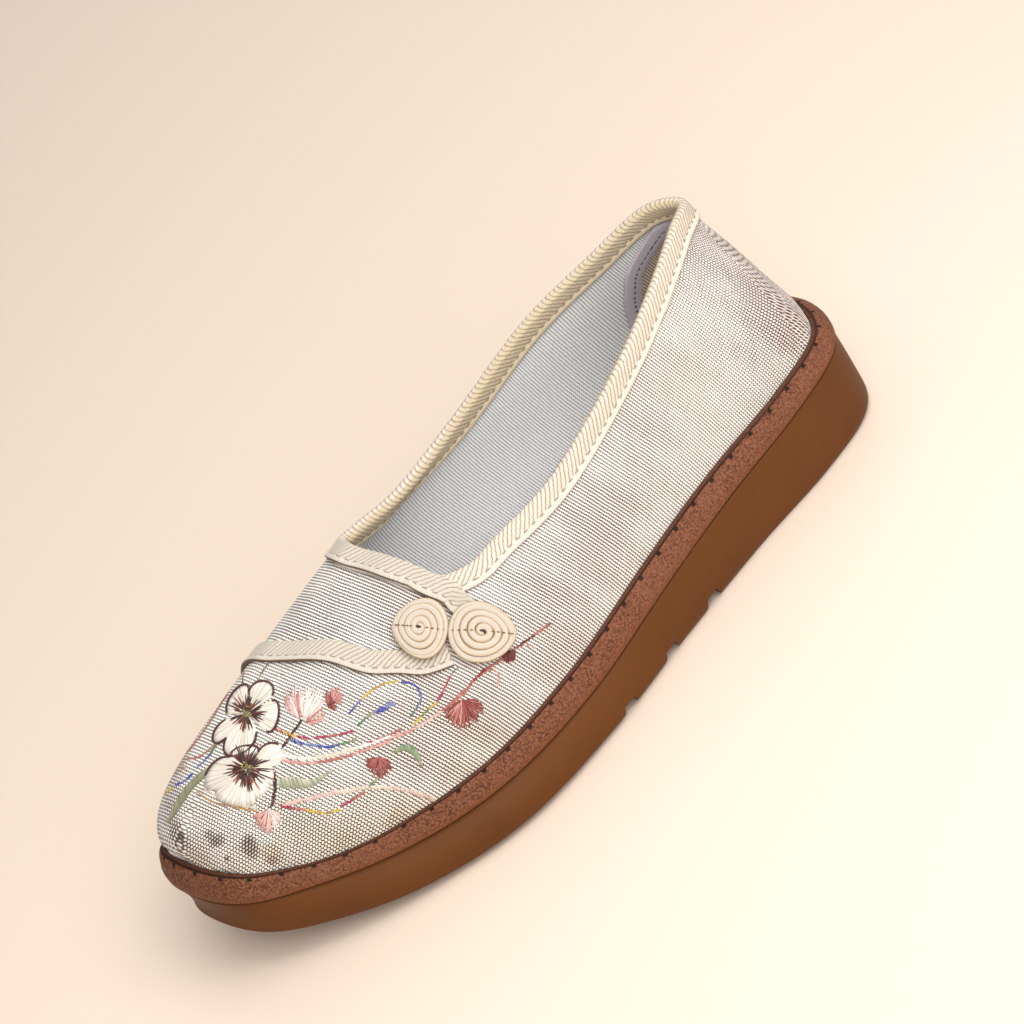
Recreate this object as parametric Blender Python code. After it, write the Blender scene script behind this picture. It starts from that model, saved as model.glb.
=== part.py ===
"""Chinese cloth shoe for the left foot: linen upper, bound collar, frog fastening, brown sole.

Units are metres, with +Z up. The toe points to -Y, the heel to +Y, and the lateral side to +X.
The shoe stands on Z = 0 with the origin below the middle of its length and width.

Every form is worked out from two places: a turn round the shoe (0 at the toe, 90 at the lateral
side, 180 at the heel, 270 at the medial side) and a level from the foxing (0) to the collar (1).
"""
import bpy
import bmesh
import math
import numpy as np

# Sole, at the joint between outsole and foxing
SHOE_LENGTH = 0.250
BALL_WIDTH = 0.0886
HEEL_WIDTH = 0.0624
FOREFOOT_WALL = 0.0143
HEEL_WALL = 0.0263
TOE_SPRING = 0.0154
ROCKER_LENGTH = 0.066
SOLE_FLARE = 0.0025
GROUND_TUCK = 0.0015
JOINT_ROUND = 0.0004

# Foxing strip between outsole and upper
FOXING_HEIGHT = 0.0090
FOXING_LEDGE = 0.0040
FOXING_BULGE = 0.0006

# Upper and collar
UPPER_WALL = 0.0016
UPPER_LEAN = 0.0020
THROAT_SETBACK = 0.0980
OPENING_LENGTH = 0.1350
COLLAR_WIDTH = 0.0500
SIDE_HEIGHT = 0.0620
THROAT_RISE = 0.0080
BACK_RISE = 0.0235

# Twill tape, insole, heel lining and frog
TAPE_WIDTH = 0.0068
TAPE_THICKNESS = 0.0009
CLEARANCE = 0.0003
TAPE_CLEARANCE = 0.00045
INSOLE_THICKNESS = 0.0040
LINING_THICKNESS = 0.0008
TAB_LENGTH = 0.0080
FROG_WIDTH = 0.0180
FROG_FRONT_LENGTH = 0.0149
FROG_REAR_LENGTH = 0.0179
FROG_RIM = 0.0024
FROG_CROWN = 0.0044
FROG_CORD = 0.0018

# Lugs of the outsole
NOTCH_MOUTH = 0.0070
NOTCH_ROOF = 0.0044
NOTCH_DEPTH = 0.0043
NOTCH_PITCH = 0.0204
GROOVE_WIDTH = 0.0026
GROOVE_DEPTH = 0.0012
GROOVE_PITCH = 0.0100

# How finely the forms are divided
FAN_LINES = 72
FAN_CROWDING = 0.25
UPPER_LEVELS = 10
COIL_SIDES = 28
PIPING_STEPS = 40
TAB_STEPS = 5
LINING_ROWS = 8
LINING_LINES = 19

# Sole edge: along from the toe as a share of the length, sides as shares of the local half width
OUTLINE_COLUMNS = ("along", "lateral", "medial")
OUTLINE = [
    (0.030, 0.29, 0.55),
    (0.100, 0.54, 0.69),
    (0.200, 0.79, 0.87),
    (0.320, 0.99, 1.01),
    (0.460, 1.02, 0.97),
    (0.600, 0.99, 0.94),
    (0.740, 0.98, 1.03),
    (0.870, 0.96, 1.04),
    (0.965, 0.73, 0.70),
]
TOE_TIP_ACROSS = -0.226
HEEL_TIP_ACROSS = 0.037
BALL_ALONG = 0.32
HEEL_ALONG = 0.87

# Side of the sole: wall runs from the forefoot wall (0) to the heel wall (1), the rest are shares
SIDE_COLUMNS = ("along", "wall", "foxing", "ledge", "flare", "tuck")
SIDE = [
    (0.00, -0.14, 1.27, 1.11, -0.46, 1.3),
    (0.10, 0.00, 0.84, 0.58, 1.00, 0.8),
    (0.25, 0.00, 0.94, 0.64, 1.40, 0.5),
    (0.45, 0.00, 1.07, 0.78, 0.96, 0.6),
    (0.70, 0.46, 1.04, 0.99, 0.43, 0.7),
    (1.00, 1.00, 0.75, 1.20, 0.10, 1.2),
]

# Profile of the outsole wall: outwards as a share of the flare, upwards as a share of the wall
WALL_PROFILE = [(0.55, 0.12), (0.95, 0.30), (1.00, 0.45), (0.75, 0.70)]

# Collar edge by turn in degrees: across as a share of half the collar width, along as a share of
# the opening, then how much of the throat rise and of the back rise it has
COLLAR_COLUMNS = ("turn", "across", "along", "throat", "back")
COLLAR = [
    (0, -0.08, 0.01, 0.98, 0.00),
    (15, 0.36, 0.03, 0.79, 0.00),
    (28, 0.77, 0.06, 0.15, 0.00),
    (38, 0.90, 0.10, 0.01, 0.00),
    (60, 0.96, 0.19, 0.00, 0.04),
    (90, 1.01, 0.37, 0.00, 0.14),
    (120, 0.96, 0.61, 0.00, 0.55),
    (145, 0.72, 0.79, 0.00, 0.87),
    (162, 0.38, 0.92, 0.00, 1.02),
    (180, 0.00, 1.00, 0.00, 0.96),
    (198, -0.48, 0.95, 0.00, 0.94),
    (215, -0.79, 0.81, 0.00, 0.74),
    (240, -0.96, 0.62, 0.00, 0.60),
    (270, -1.00, 0.37, 0.00, 0.26),
    (300, -0.92, 0.19, 0.00, 0.12),
    (325, -0.82, 0.06, 0.70, 0.00),
    (340, -0.67, 0.01, 0.98, 0.00),
    (350, -0.34, 0.00, 1.15, 0.00),
]

# How each fan line of the upper bends: lean outwards above the foxing, wall as a share of the rise,
# brow as a share of the run, pitch as a share of the rise over the brow
FAN_COLUMNS = ("turn", "lean", "wall", "brow", "pitch")
FAN = [
    (0, 0.30, 0.60, 0.53, 0.60),
    (30, 0.75, 0.49, 0.50, 0.48),
    (60, 1.00, 0.50, 0.50, 0.65),
    (90, 1.25, 0.45, 0.45, 0.85),
    (125, 1.00, 0.40, 0.40, 1.00),
    (155, 0.36, 0.32, 0.38, 1.01),
    (180, -0.20, 0.20, 0.36, 1.05),
    (205, 0.50, 0.36, 0.38, 1.00),
    (235, 1.00, 0.40, 0.40, 1.00),
    (270, 1.25, 0.45, 0.45, 0.85),
    (300, 1.00, 0.51, 0.50, 0.61),
    (330, 0.66, 0.47, 0.48, 0.66),
]

# Centre line of the piping along the front edge of the crossing panel, as turn and level
PIPING_PATH = [(-60, 0.05), (-50, 0.32), (-36, 0.56), (-18, 0.70), (6, 0.765), (22, 0.78),
               (40, 0.74), (53, 0.67), (60, 0.635)]

# Collar turn where the front band runs on as a tab, down to the frog
TAB_TURN = 33

# Frog coils: turn, level, heading of the tip in degrees from the fan line, and length
FROG_COILS = {
    "frog_coil_front": (40.5, 0.824, -118, FROG_FRONT_LENGTH),
    "frog_coil_rear": (68.0, 0.620, 79, FROG_REAR_LENGTH),
}

# Heel lining: how far down it is, and its half spread in degrees of turn there
LINING_COLUMNS = ("down", "spread")
LINING = [(0.0, 19), (0.12, 30), (0.35, 39), (0.65, 44.5), (1.0, 48)]
LINING_FOOT_LEVEL = 0.10

# Lugs: name, share of the length where the row starts, number of cuts, then the width, gap, pitch
# and depth of each; a gap is the mouth at the floor and the roof
GROOVE_GAP = (GROOVE_WIDTH, GROOVE_WIDTH)
LUGS = [
    ("notch", 0.489, 3, 2 * BALL_WIDTH, (NOTCH_MOUTH, NOTCH_ROOF), NOTCH_PITCH, NOTCH_DEPTH),
    ("forefoot_groove", 0.27, 5, 0.62 * BALL_WIDTH, GROOVE_GAP, GROOVE_PITCH, GROOVE_DEPTH),
    ("heel_groove", 0.77, 4, 0.60 * HEEL_WIDTH, GROOVE_GAP, GROOVE_PITCH, GROOVE_DEPTH),
]


def column(table, columns, name):
    """One named column of a table, as an array."""
    return np.array([row[columns.index(name)] for row in table], float)


def smooth(places, values, where, period=None):
    """Cubic curve through the values, with the slope of a parabola through each three."""
    places = np.asarray(places, float)
    values = np.asarray(values, float)
    if period:
        places = np.concatenate([[places[-1] - period], places, places[:2] + period])
        values = np.concatenate([[values[-1]], values, values[:2]])
        where = np.mod(np.asarray(where, float) - places[1], period) + places[1]
    step = np.diff(places)
    slope = np.diff(values) / step
    bend = np.empty_like(values)
    bend[1:-1] = (step[:-1] * slope[1:] + step[1:] * slope[:-1]) / (step[:-1] + step[1:])
    bend[0] = slope[0]
    bend[-1] = slope[-1]
    at = np.clip(np.searchsorted(places, where, side="right") - 1, 0, len(places) - 2)
    s = (where - places[at]) / step[at]
    start = (1 + 2 * s) * (1 - s) ** 2 * values[at] + s * (1 - s) ** 2 * step[at] * bend[at]
    end = s * s * (3 - 2 * s) * values[at + 1] + s * s * (s - 1) * step[at] * bend[at + 1]
    return start + end


def ease(share):
    """Soft step from 0 to 1."""
    share = np.clip(share, 0, 1)
    return share * share * (3 - 2 * share)


def share_along(turn):
    """Share of the length from the toe at a turn in degrees."""
    return (1 - np.cos(np.radians(turn))) / 2


def turn_at(along):
    """Lateral turn in degrees at a share of the length."""
    return np.degrees(np.arccos(1 - 2 * along))


def half_width(along):
    """Half the width that the outline's shares are taken of."""
    blend = ease((along - BALL_ALONG) / (HEEL_ALONG - BALL_ALONG))
    return (BALL_WIDTH + (HEEL_WIDTH - BALL_WIDTH) * blend) / 2


def side(turn, name):
    """A column of the side table at a turn."""
    return smooth(column(SIDE, SIDE_COLUMNS, "along"), column(SIDE, SIDE_COLUMNS, name),
                  share_along(turn))


def sole_edge(turn):
    """Joint between outsole and foxing, seen from above, before it is centred."""
    along = column(OUTLINE, OUTLINE_COLUMNS, "along")
    turns = turn_at(along)
    lateral = column(OUTLINE, OUTLINE_COLUMNS, "lateral") * half_width(along)
    medial = column(OUTLINE, OUTLINE_COLUMNS, "medial") * half_width(along)
    tip = TOE_TIP_ACROSS * BALL_WIDTH / 2
    heel = HEEL_TIP_ACROSS * HEEL_WIDTH / 2
    places = np.concatenate([[0], turns, [180], 360 - turns[::-1]])
    values = np.concatenate([[tip], lateral, [heel], -medial[::-1]])
    across = smooth(places, values, turn, 360)
    return np.stack([across, (share_along(turn) - 0.5) * SHOE_LENGTH], -1)


def plan_normal(turn):
    """Outward normal of the sole edge, seen from above."""
    ahead = sole_edge(turn + 0.5) - sole_edge(turn - 0.5)
    normal = np.stack([ahead[..., 1], -ahead[..., 0]], -1)
    return normal / np.linalg.norm(normal, axis=-1, keepdims=True)


def centre():
    """Middle of the widest outline of the sole, which the origin lies below."""
    turn = np.arange(FAN_LINES) * 360.0 / FAN_LINES
    flare = np.maximum(side(turn, "flare") * SOLE_FLARE, FOXING_BULGE)
    widest = sole_edge(turn) + plan_normal(turn) * flare[:, None]
    return (widest.max(0) + widest.min(0)) / 2


CENTRE = centre()


def plan(turn, out):
    """Point beside the sole edge, out metres outwards, in the shoe's own frame."""
    return sole_edge(turn) + plan_normal(turn) * np.asarray(out)[..., None] - CENTRE


def ground(turn):
    """Height of the outsole's underside: flat, with the toe spring at the front."""
    rocker = ROCKER_LENGTH / SHOE_LENGTH
    return TOE_SPRING * np.clip((rocker - share_along(turn)) / rocker, 0, None) ** 2


def wall_height(turn):
    """Height of the outsole's side wall."""
    return FOREFOOT_WALL + side(turn, "wall") * (HEEL_WALL - FOREFOOT_WALL)


def sole_top(turn):
    """Height of the outsole's top face."""
    return ground(turn) + wall_height(turn)


def foxing_top(turn):
    """Height of the upper edge of the foxing."""
    return sole_top(turn) + side(turn, "foxing") * FOXING_HEIGHT


def ledge(turn):
    """How far the upper's outer face stands inside the sole edge."""
    return side(turn, "ledge") * FOXING_LEDGE


def stand(turn, out, height):
    """3D point at a plan offset and a height."""
    flat = plan(turn, out)
    return np.concatenate([flat, np.broadcast_to(height, flat.shape[:-1])[..., None]], -1)


def feather(turn):
    """Edge where the upper comes out of the foxing."""
    return stand(turn, -ledge(turn), foxing_top(turn))


def collar(turn):
    """Fold of the collar binding, round the opening."""
    places = column(COLLAR, COLLAR_COLUMNS, "turn")

    def at(name):
        return smooth(places, column(COLLAR, COLLAR_COLUMNS, name), turn, 360)

    across = at("across") * COLLAR_WIDTH / 2
    along = THROAT_SETBACK - SHOE_LENGTH / 2 + at("along") * OPENING_LENGTH
    height = SIDE_HEIGHT + at("throat") * THROAT_RISE + at("back") * BACK_RISE
    return np.stack([across - CENTRE[0], along - CENTRE[1], height], -1)


def fan(turn, name):
    """A column of the fan table at a turn."""
    return smooth(column(FAN, FAN_COLUMNS, "turn"), column(FAN, FAN_COLUMNS, name), turn, 360)


def outer_face(turn, level):
    """Outer face of the upper, on the fan line at this turn."""
    turn = np.asarray(turn, float)
    level = np.asarray(level, float)[..., None]
    low = feather(turn)
    high = collar(turn)
    span = high - low
    upright = low.copy()
    upright[..., :2] += plan_normal(turn) * (fan(turn, "lean") * UPPER_LEAN)[..., None]
    upright[..., 2] += fan(turn, "wall") * span[..., 2]
    brow = fan(turn, "brow")
    brink = low + span * (1 - brow)[..., None]
    brink[..., 2] = low[..., 2] + span[..., 2] * (1 - brow * fan(turn, "pitch"))
    rest = 1 - level
    return (rest ** 3 * low + 3 * level * rest ** 2 * upright
            + 3 * level ** 2 * rest * brink + level ** 3 * high)


def face_slopes(turn, level):
    """How the outer face moves for a degree of turn and for a whole level."""
    turn_step = 0.5
    level_step = 0.01
    low = np.clip(level - level_step, 0, 1)
    high = np.clip(level + level_step, 0, 1)
    by_turn = outer_face(turn + turn_step, level) - outer_face(turn - turn_step, level)
    by_level = (outer_face(turn, high) - outer_face(turn, low)) / (high - low)[..., None]
    return by_turn / (2 * turn_step), by_level


def face_normal(turn, level):
    """Outward normal of the upper."""
    by_turn, by_level = face_slopes(turn, level)
    normal = np.cross(by_turn, by_level)
    return normal / np.linalg.norm(normal, axis=-1, keepdims=True)


def on_upper(turn, level, out):
    """Point beside the upper's outer face, out metres outwards."""
    turn, level = np.broadcast_arrays(np.asarray(turn, float), np.asarray(level, float))
    return outer_face(turn, level) + face_normal(turn, level) * np.asarray(out, float)[..., None]


def slide(turn, level, shift):
    """Turn and level of the face's point nearest to a place that is moved by a 3D shift."""
    turn, level = np.broadcast_arrays(np.asarray(turn, float), np.asarray(level, float))
    target = outer_face(turn, level) + shift
    for _ in range(5):
        by_turn, by_level = face_slopes(turn, level)
        miss = target - outer_face(turn, level)
        turn_turn = (by_turn * by_turn).sum(-1)
        turn_level = (by_turn * by_level).sum(-1)
        level_level = (by_level * by_level).sum(-1)
        miss_turn = (miss * by_turn).sum(-1)
        miss_level = (miss * by_level).sum(-1)
        scale = turn_turn * level_level - turn_level ** 2
        turn = turn + (level_level * miss_turn - turn_level * miss_level) / scale
        level = np.clip(level + (turn_turn * miss_level - turn_level * miss_turn) / scale, 0, 1)
    return turn, level


def away_from_collar(turn):
    """Direction along the face, square to the collar edge and away from the opening, and how far
    a whole level reaches in it."""
    by_turn, by_level = face_slopes(turn, np.ones_like(turn))
    along = by_turn / np.linalg.norm(by_turn, axis=-1, keepdims=True)
    away = -(by_level - (by_level * along).sum(-1, keepdims=True) * along)
    reach = np.linalg.norm(away, axis=-1, keepdims=True)
    return away / reach, reach[..., 0]


def below_collar(turn, down):
    """Turn and level of the place that lies down metres square below the collar fold."""
    turn = np.asarray(turn, float)
    away, _ = away_from_collar(turn)
    return slide(turn, np.ones_like(turn), away * down)


def level_below_collar(turn, down):
    """Level on the same fan line that lies down metres below the collar fold."""
    return 1 - down / away_from_collar(turn)[1]


def beside(turn, level, right, up, out):
    """Points of the face near a place, right and up in metres along it, and out metres off it."""
    normal = face_normal(turn, level)
    by_level = face_slopes(turn, level)[1]
    lift = by_level / np.linalg.norm(by_level)
    across = np.cross(lift, normal)
    turns = np.full(len(right), float(turn))
    levels = np.full(len(right), float(level))
    turns, levels = slide(turns, levels, np.outer(right, across) + np.outer(up, lift))
    return on_upper(turns, levels, out)


def fan_turns():
    """Turns of the fan lines, closer together at the toe and the throat."""
    even = np.arange(FAN_LINES) * 360.0 / FAN_LINES
    return even - np.degrees(FAN_CROWDING * np.sin(np.radians(even)))


TURNS = fan_turns()


def clear_scene():
    """Start from an empty file."""
    for item in list(bpy.data.objects):
        bpy.data.objects.remove(item, do_unlink=True)


def collection(name):
    """New collection in the scene."""
    group = bpy.data.collections.new(name)
    bpy.context.scene.collection.children.link(group)
    return group


def material(name, colour, roughness):
    """Plain Principled material."""
    made = bpy.data.materials.new(name)
    made.use_nodes = True
    shader = made.node_tree.nodes["Principled BSDF"]
    shader.inputs["Base Color"].default_value = (*colour, 1)
    shader.inputs["Roughness"].default_value = roughness
    shader.inputs["Metallic"].default_value = 0
    return made


def add_mesh(name, points, faces, finish, group):
    """Object from points and faces, with its normals facing out."""
    mesh = bpy.data.meshes.new(name)
    mesh.from_pydata([tuple(map(float, p)) for p in points], [], faces)
    form = bmesh.new()
    form.from_mesh(mesh)
    bmesh.ops.recalc_face_normals(form, faces=form.faces)
    form.to_mesh(mesh)
    form.free()
    mesh.shade_smooth()
    mesh.set_sharp_from_angle(angle=math.radians(40))
    mesh.materials.append(finish)
    item = bpy.data.objects.new(name, mesh)
    group.objects.link(item)
    return item


def ring_band(first, second, count):
    """Quads between two rings of the same count."""
    return [(first + i, first + (i + 1) % count, second + (i + 1) % count, second + i)
            for i in range(count)]


def loft(name, rings, finish, group, closed):
    """Loft round the shoe: a closed tube of rings, or a stack with a face across each end."""
    count = len(rings[0])
    points = np.concatenate(rings)
    faces = []
    pairs = len(rings) if closed else len(rings) - 1
    for i in range(pairs):
        faces += ring_band(i * count, (i + 1) % len(rings) * count, count)
    if not closed:
        faces += cap_across(0, count) + cap_across((len(rings) - 1) * count, count)
    return add_mesh(name, points, faces, finish, group)


def cap_across(first, count):
    """Faces across a ring, from each lateral point to the medial point at the same length."""
    half = count // 2
    faces = [(first, first + 1, first + count - 1)]
    for i in range(1, half - 1):
        faces.append((first + i, first + i + 1, first + count - i - 1, first + count - i))
    faces.append((first + half - 1, first + half, first + half + 1))
    return faces


def cut(item, tool):
    """Cut a tool out of an object."""
    modifier = item.modifiers.new(tool.name, "BOOLEAN")
    modifier.operation = "DIFFERENCE"
    modifier.object = tool
    modifier.solver = "EXACT"
    tool.hide_render = True
    tool.display_type = "WIRE"


def box_cutter(name, size, roof, place, group):
    """Cutter box with its size applied; lengthwise its top face is the share roof of its bottom."""
    bpy.ops.mesh.primitive_cube_add(size=1, location=place)
    tool = bpy.context.object
    tool.name = name
    tool.data.transform(((size[0], 0, 0, 0), (0, size[1], 0, 0), (0, 0, size[2], 0), (0, 0, 0, 1)))
    for corner in tool.data.vertices:
        corner.co.y *= roof if corner.co.z > 0 else 1
    for owner in list(tool.users_collection):
        owner.objects.unlink(tool)
    group.objects.link(tool)
    return tool


def make_outsole(finish, group, cutters):
    """Moulded sole with a flared wall, a rocker at the toe and grooves across its underside."""
    height = wall_height(TURNS)
    flare = side(TURNS, "flare") * SOLE_FLARE
    tuck = side(TURNS, "tuck") * GROUND_TUCK
    low = ground(TURNS)
    rings = [stand(TURNS, -tuck, low)]
    for out, up in WALL_PROFILE:
        rings.append(stand(TURNS, out * flare, low + up * height))
    rings.append(stand(TURNS, 0 * flare, low + height - JOINT_ROUND))
    rings.append(stand(TURNS, 0 * flare - JOINT_ROUND, low + height))
    sole = loft("outsole", rings, finish, group, closed=False)
    for name, start, count, width, gap, pitch, depth in LUGS:
        for i in range(count):
            place = (0, (start - 0.5) * SHOE_LENGTH + i * pitch, 0)
            foot = 2 * gap[0] - gap[1]
            size = (width, foot, 2 * depth)
            cut(sole, box_cutter(f"{name}_{i}", size, gap[1] / foot, place, cutters))
    return sole


def make_foxing(finish, group):
    """Strip with a rounded shoulder, from the outsole's edge up to the upper."""
    inset = ledge(TURNS)
    base = sole_top(TURNS) + CLEARANCE
    height = foxing_top(TURNS) - base
    profile = [
        (-inset + CLEARANCE, 0), (0 * inset - JOINT_ROUND, 0), (0 * inset + FOXING_BULGE, 0.30),
        (-0.12 * inset, 0.60), (-0.40 * inset, 0.88), (-0.75 * inset, 0.99), (-inset + CLEARANCE, 1.0)]
    rings = [stand(TURNS, out, base + up * height) for out, up in profile]
    return loft("foxing", rings, finish, group, closed=True)


def make_upper(finish, group):
    """Hollow linen shell, open at the collar and underneath."""
    top = level_below_collar(TURNS, TAPE_THICKNESS + 3 * CLEARANCE)
    low = sole_top(TURNS) + CLEARANCE
    outside = [stand(TURNS, -ledge(TURNS), low)]
    inside = [stand(TURNS, -ledge(TURNS) - UPPER_WALL, low)]
    for i in range(UPPER_LEVELS + 1):
        level = top * i / UPPER_LEVELS
        outside.append(on_upper(TURNS, level, np.zeros(FAN_LINES)))
        inside.append(on_upper(TURNS, level, np.full(FAN_LINES, -UPPER_WALL)))
    return loft("upper", outside + inside[::-1], finish, group, closed=True)


def make_collar_binding(finish, group):
    """Tape folded over the collar edge, with a leg on each face of the upper."""
    edge = TAPE_THICKNESS + CLEARANCE
    near = TAPE_CLEARANCE
    far = TAPE_CLEARANCE + TAPE_THICKNESS
    wall = UPPER_WALL
    profile = [
        (TAPE_WIDTH, near), (TAPE_WIDTH, far), (TAPE_WIDTH / 2, far), (edge, far),
        (0.25 * edge, 0.5 * far), (0, -wall / 2), (0.25 * edge, -wall - 0.5 * far), (edge, -wall - far),
        (TAPE_WIDTH / 2, -wall - far), (TAPE_WIDTH, -wall - far), (TAPE_WIDTH, -wall - near),
        (TAPE_WIDTH / 2, -wall - near), (TAPE_THICKNESS, -wall - near), (TAPE_THICKNESS, near),
        (TAPE_WIDTH / 2, near)]
    rings = []
    for down, out in profile:
        turn, level = below_collar(TURNS, down)
        rings.append(on_upper(turn, level, np.full(FAN_LINES, out)))
    return loft("collar_binding", rings, finish, group, closed=True)


def smooth_path(path, count):
    """Evenly numbered places on a smooth curve through the path's own."""
    knots = np.arange(len(path), dtype=float)
    where = np.linspace(0, len(path) - 1, count)
    return np.stack([smooth(knots, [p[i] for p in path], where) for i in range(2)], -1)


def tab_path():
    """Path of the tab, from the edge of the collar binding to below the frog."""
    start = TAPE_WIDTH + 2 * CLEARANCE
    return [below_collar(TAB_TURN, start + share * TAB_LENGTH) for share in (0, 0.5, 1)]


def make_tape(name, path, count, finish, group):
    """Tape that lies on the upper's outer face along a path of turns and levels."""
    places = smooth_path(path, count)
    spine = outer_face(places[:, 0], places[:, 1])
    ahead = np.gradient(spine, axis=0)
    half = TAPE_WIDTH / 2
    section = [(-half, 0), (-half, 0.7), (-half / 3, 1), (half / 3, 1), (half, 0.7), (half, 0),
               (half / 3, 0), (-half / 3, 0)]
    points = []
    for (turn, level), heading in zip(places, ahead):
        normal = face_normal(turn, level)
        by_level = face_slopes(turn, level)[1]
        lift = by_level / np.linalg.norm(by_level)
        sideways = np.cross(normal, heading)
        sideways /= np.linalg.norm(sideways)
        right = np.array([s for s, _ in section]) * np.dot(sideways, np.cross(lift, normal))
        up = np.array([s for s, _ in section]) * np.dot(sideways, lift)
        out = TAPE_CLEARANCE + np.array([h for _, h in section]) * TAPE_THICKNESS
        points.append(beside(turn, level, right, up, out))
    size = len(section)
    faces = []
    for i in range(count - 1):
        faces += ring_band(i * size, (i + 1) * size, size)
    faces += [tuple(range(size)), tuple((count - 1) * size + i for i in range(size))]
    return add_mesh(name, np.concatenate(points), faces, finish, group)


def leaf(length, width):
    """Outline of a coil: round at the joint and pointed at the tip."""
    around = np.arange(COIL_SIDES) * 2 * math.pi / COIL_SIDES
    pointed = 0.45 + 0.62 * np.abs(np.sin(around / 2))
    return length / 2 * np.cos(around), width / 2 * np.sin(around) * pointed


def make_frog_coil(name, turn, level, tip, length, finish, group):
    """Domed coil of cord, seated on the tapes that run below it."""
    right, up = leaf(length, FROG_WIDTH)
    heading = math.radians(tip)
    wide = right * math.sin(heading) - up * math.cos(heading)
    high = right * math.cos(heading) + up * math.sin(heading)
    seat = TAPE_CLEARANCE + TAPE_THICKNESS + CLEARANCE
    coils = int(FROG_WIDTH / 2 / FROG_CORD)
    section = [(0.30, seat), (0.94, seat), (1.0, seat + FROG_RIM / 2)]
    for i in range(coils):
        outer = 1 - i / coils
        crest = seat + FROG_RIM + (FROG_CROWN - FROG_RIM) * (1 - outer ** 2)
        section.append((outer - 0.12 / coils, crest - FROG_CORD / 4))
        section.append((outer - 0.5 / coils, crest + FROG_CORD / 8))
    rings = [beside(turn, level, wide * size, high * size, np.full(COIL_SIDES, out))
             for size, out in section]
    faces = []
    for i in range(len(rings) - 1):
        faces += ring_band(i * COIL_SIDES, (i + 1) * COIL_SIDES, COIL_SIDES)
    last = (len(rings) - 1) * COIL_SIDES
    faces += [tuple(range(COIL_SIDES)), tuple(last + i for i in range(COIL_SIDES))]
    return add_mesh(name, np.concatenate(rings), faces, finish, group)


def make_insole(finish, group):
    """Padded sock on the outsole, clear of the upper all round."""
    rim = -ledge(TURNS) - UPPER_WALL - CLEARANCE
    low = sole_top(TURNS) + CLEARANCE
    soft = INSOLE_THICKNESS / 4
    rings = [stand(TURNS, rim, low), stand(TURNS, rim, low + INSOLE_THICKNESS - soft),
             stand(TURNS, rim - soft, low + INSOLE_THICKNESS)]
    return loft("insole", rings, finish, group, closed=False)


def make_heel_lining(finish, group):
    """Curved patch inside the heel, under the collar binding."""
    rows = LINING_ROWS
    cols = LINING_LINES
    inner = -UPPER_WALL - CLEARANCE
    points = []
    for out in (inner, inner - LINING_THICKNESS):
        for i in range(rows):
            share = i / (rows - 1)
            spread = smooth(column(LINING, LINING_COLUMNS, "down"),
                            column(LINING, LINING_COLUMNS, "spread"), share)
            turn = np.linspace(180 - spread, 180 + spread, cols)
            head = level_below_collar(turn, TAPE_WIDTH + 2 * CLEARANCE)
            points.append(on_upper(turn, head + (LINING_FOOT_LEVEL - head) * share, np.full(cols, out)))
    faces = []
    size = rows * cols
    for i in range(rows - 1):
        for j in range(cols - 1):
            a = i * cols + j
            faces.append((a, a + 1, a + cols + 1, a + cols))
            faces.append((size + a, size + a + cols, size + a + cols + 1, size + a + 1))
    border = list(range(cols))
    border += [i * cols + cols - 1 for i in range(1, rows)]
    border += [(rows - 1) * cols + j for j in range(cols - 2, -1, -1)]
    border += [i * cols for i in range(rows - 2, 0, -1)]
    for a, b in zip(border, border[1:] + border[:1]):
        faces.append((a, b, size + b, size + a))
    return add_mesh("heel_lining", np.concatenate(points), faces, finish, group)


def build():
    """Make every piece of the shoe."""
    clear_scene()
    shoe = collection("chinese_cloth_shoe")
    cutters = collection("cutters")
    brown = material("sole_brown", (0.145, 0.055, 0.018), 0.55)
    strip = material("foxing_brown", (0.195, 0.082, 0.055), 0.8)
    linen = material("striped_linen", (0.70, 0.66, 0.62), 0.9)
    cream = material("cream_tape", (0.86, 0.79, 0.64), 0.85)
    cord = material("cream_cord", (0.88, 0.82, 0.68), 0.85)
    sock = material("insole_cloth", (0.62, 0.58, 0.56), 0.9)
    grey = material("lining_grey", (0.36, 0.33, 0.37), 0.6)
    make_outsole(brown, shoe, cutters)
    make_foxing(strip, shoe)
    make_upper(linen, shoe)
    make_insole(sock, shoe)
    make_collar_binding(cream, shoe)
    make_tape("vamp_piping", PIPING_PATH, PIPING_STEPS, cream, shoe)
    make_tape("closure_tab", tab_path(), TAB_STEPS, cream, shoe)
    for name, (turn, level, tip, length) in FROG_COILS.items():
        make_frog_coil(name, turn, level, tip, length, cord, shoe)
    make_heel_lining(grey, shoe)


build()
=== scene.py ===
"""Looks of the chinese cloth shoe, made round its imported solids.

Metres, +Z up, toe to -Y and lateral side to +X, as in the frame. The same places as in the frame's
own source are used: a turn round the shoe (0 at the toe, 90 lateral, 180 heel, 270 medial) and a
level from the foxing (0) to the collar (1). Cloth and tape coordinates are in millimetres.
"""

import math

import bpy
import bmesh
import numpy as np
from mathutils import Matrix, Vector
from mathutils.bvhtree import BVHTree

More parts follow.
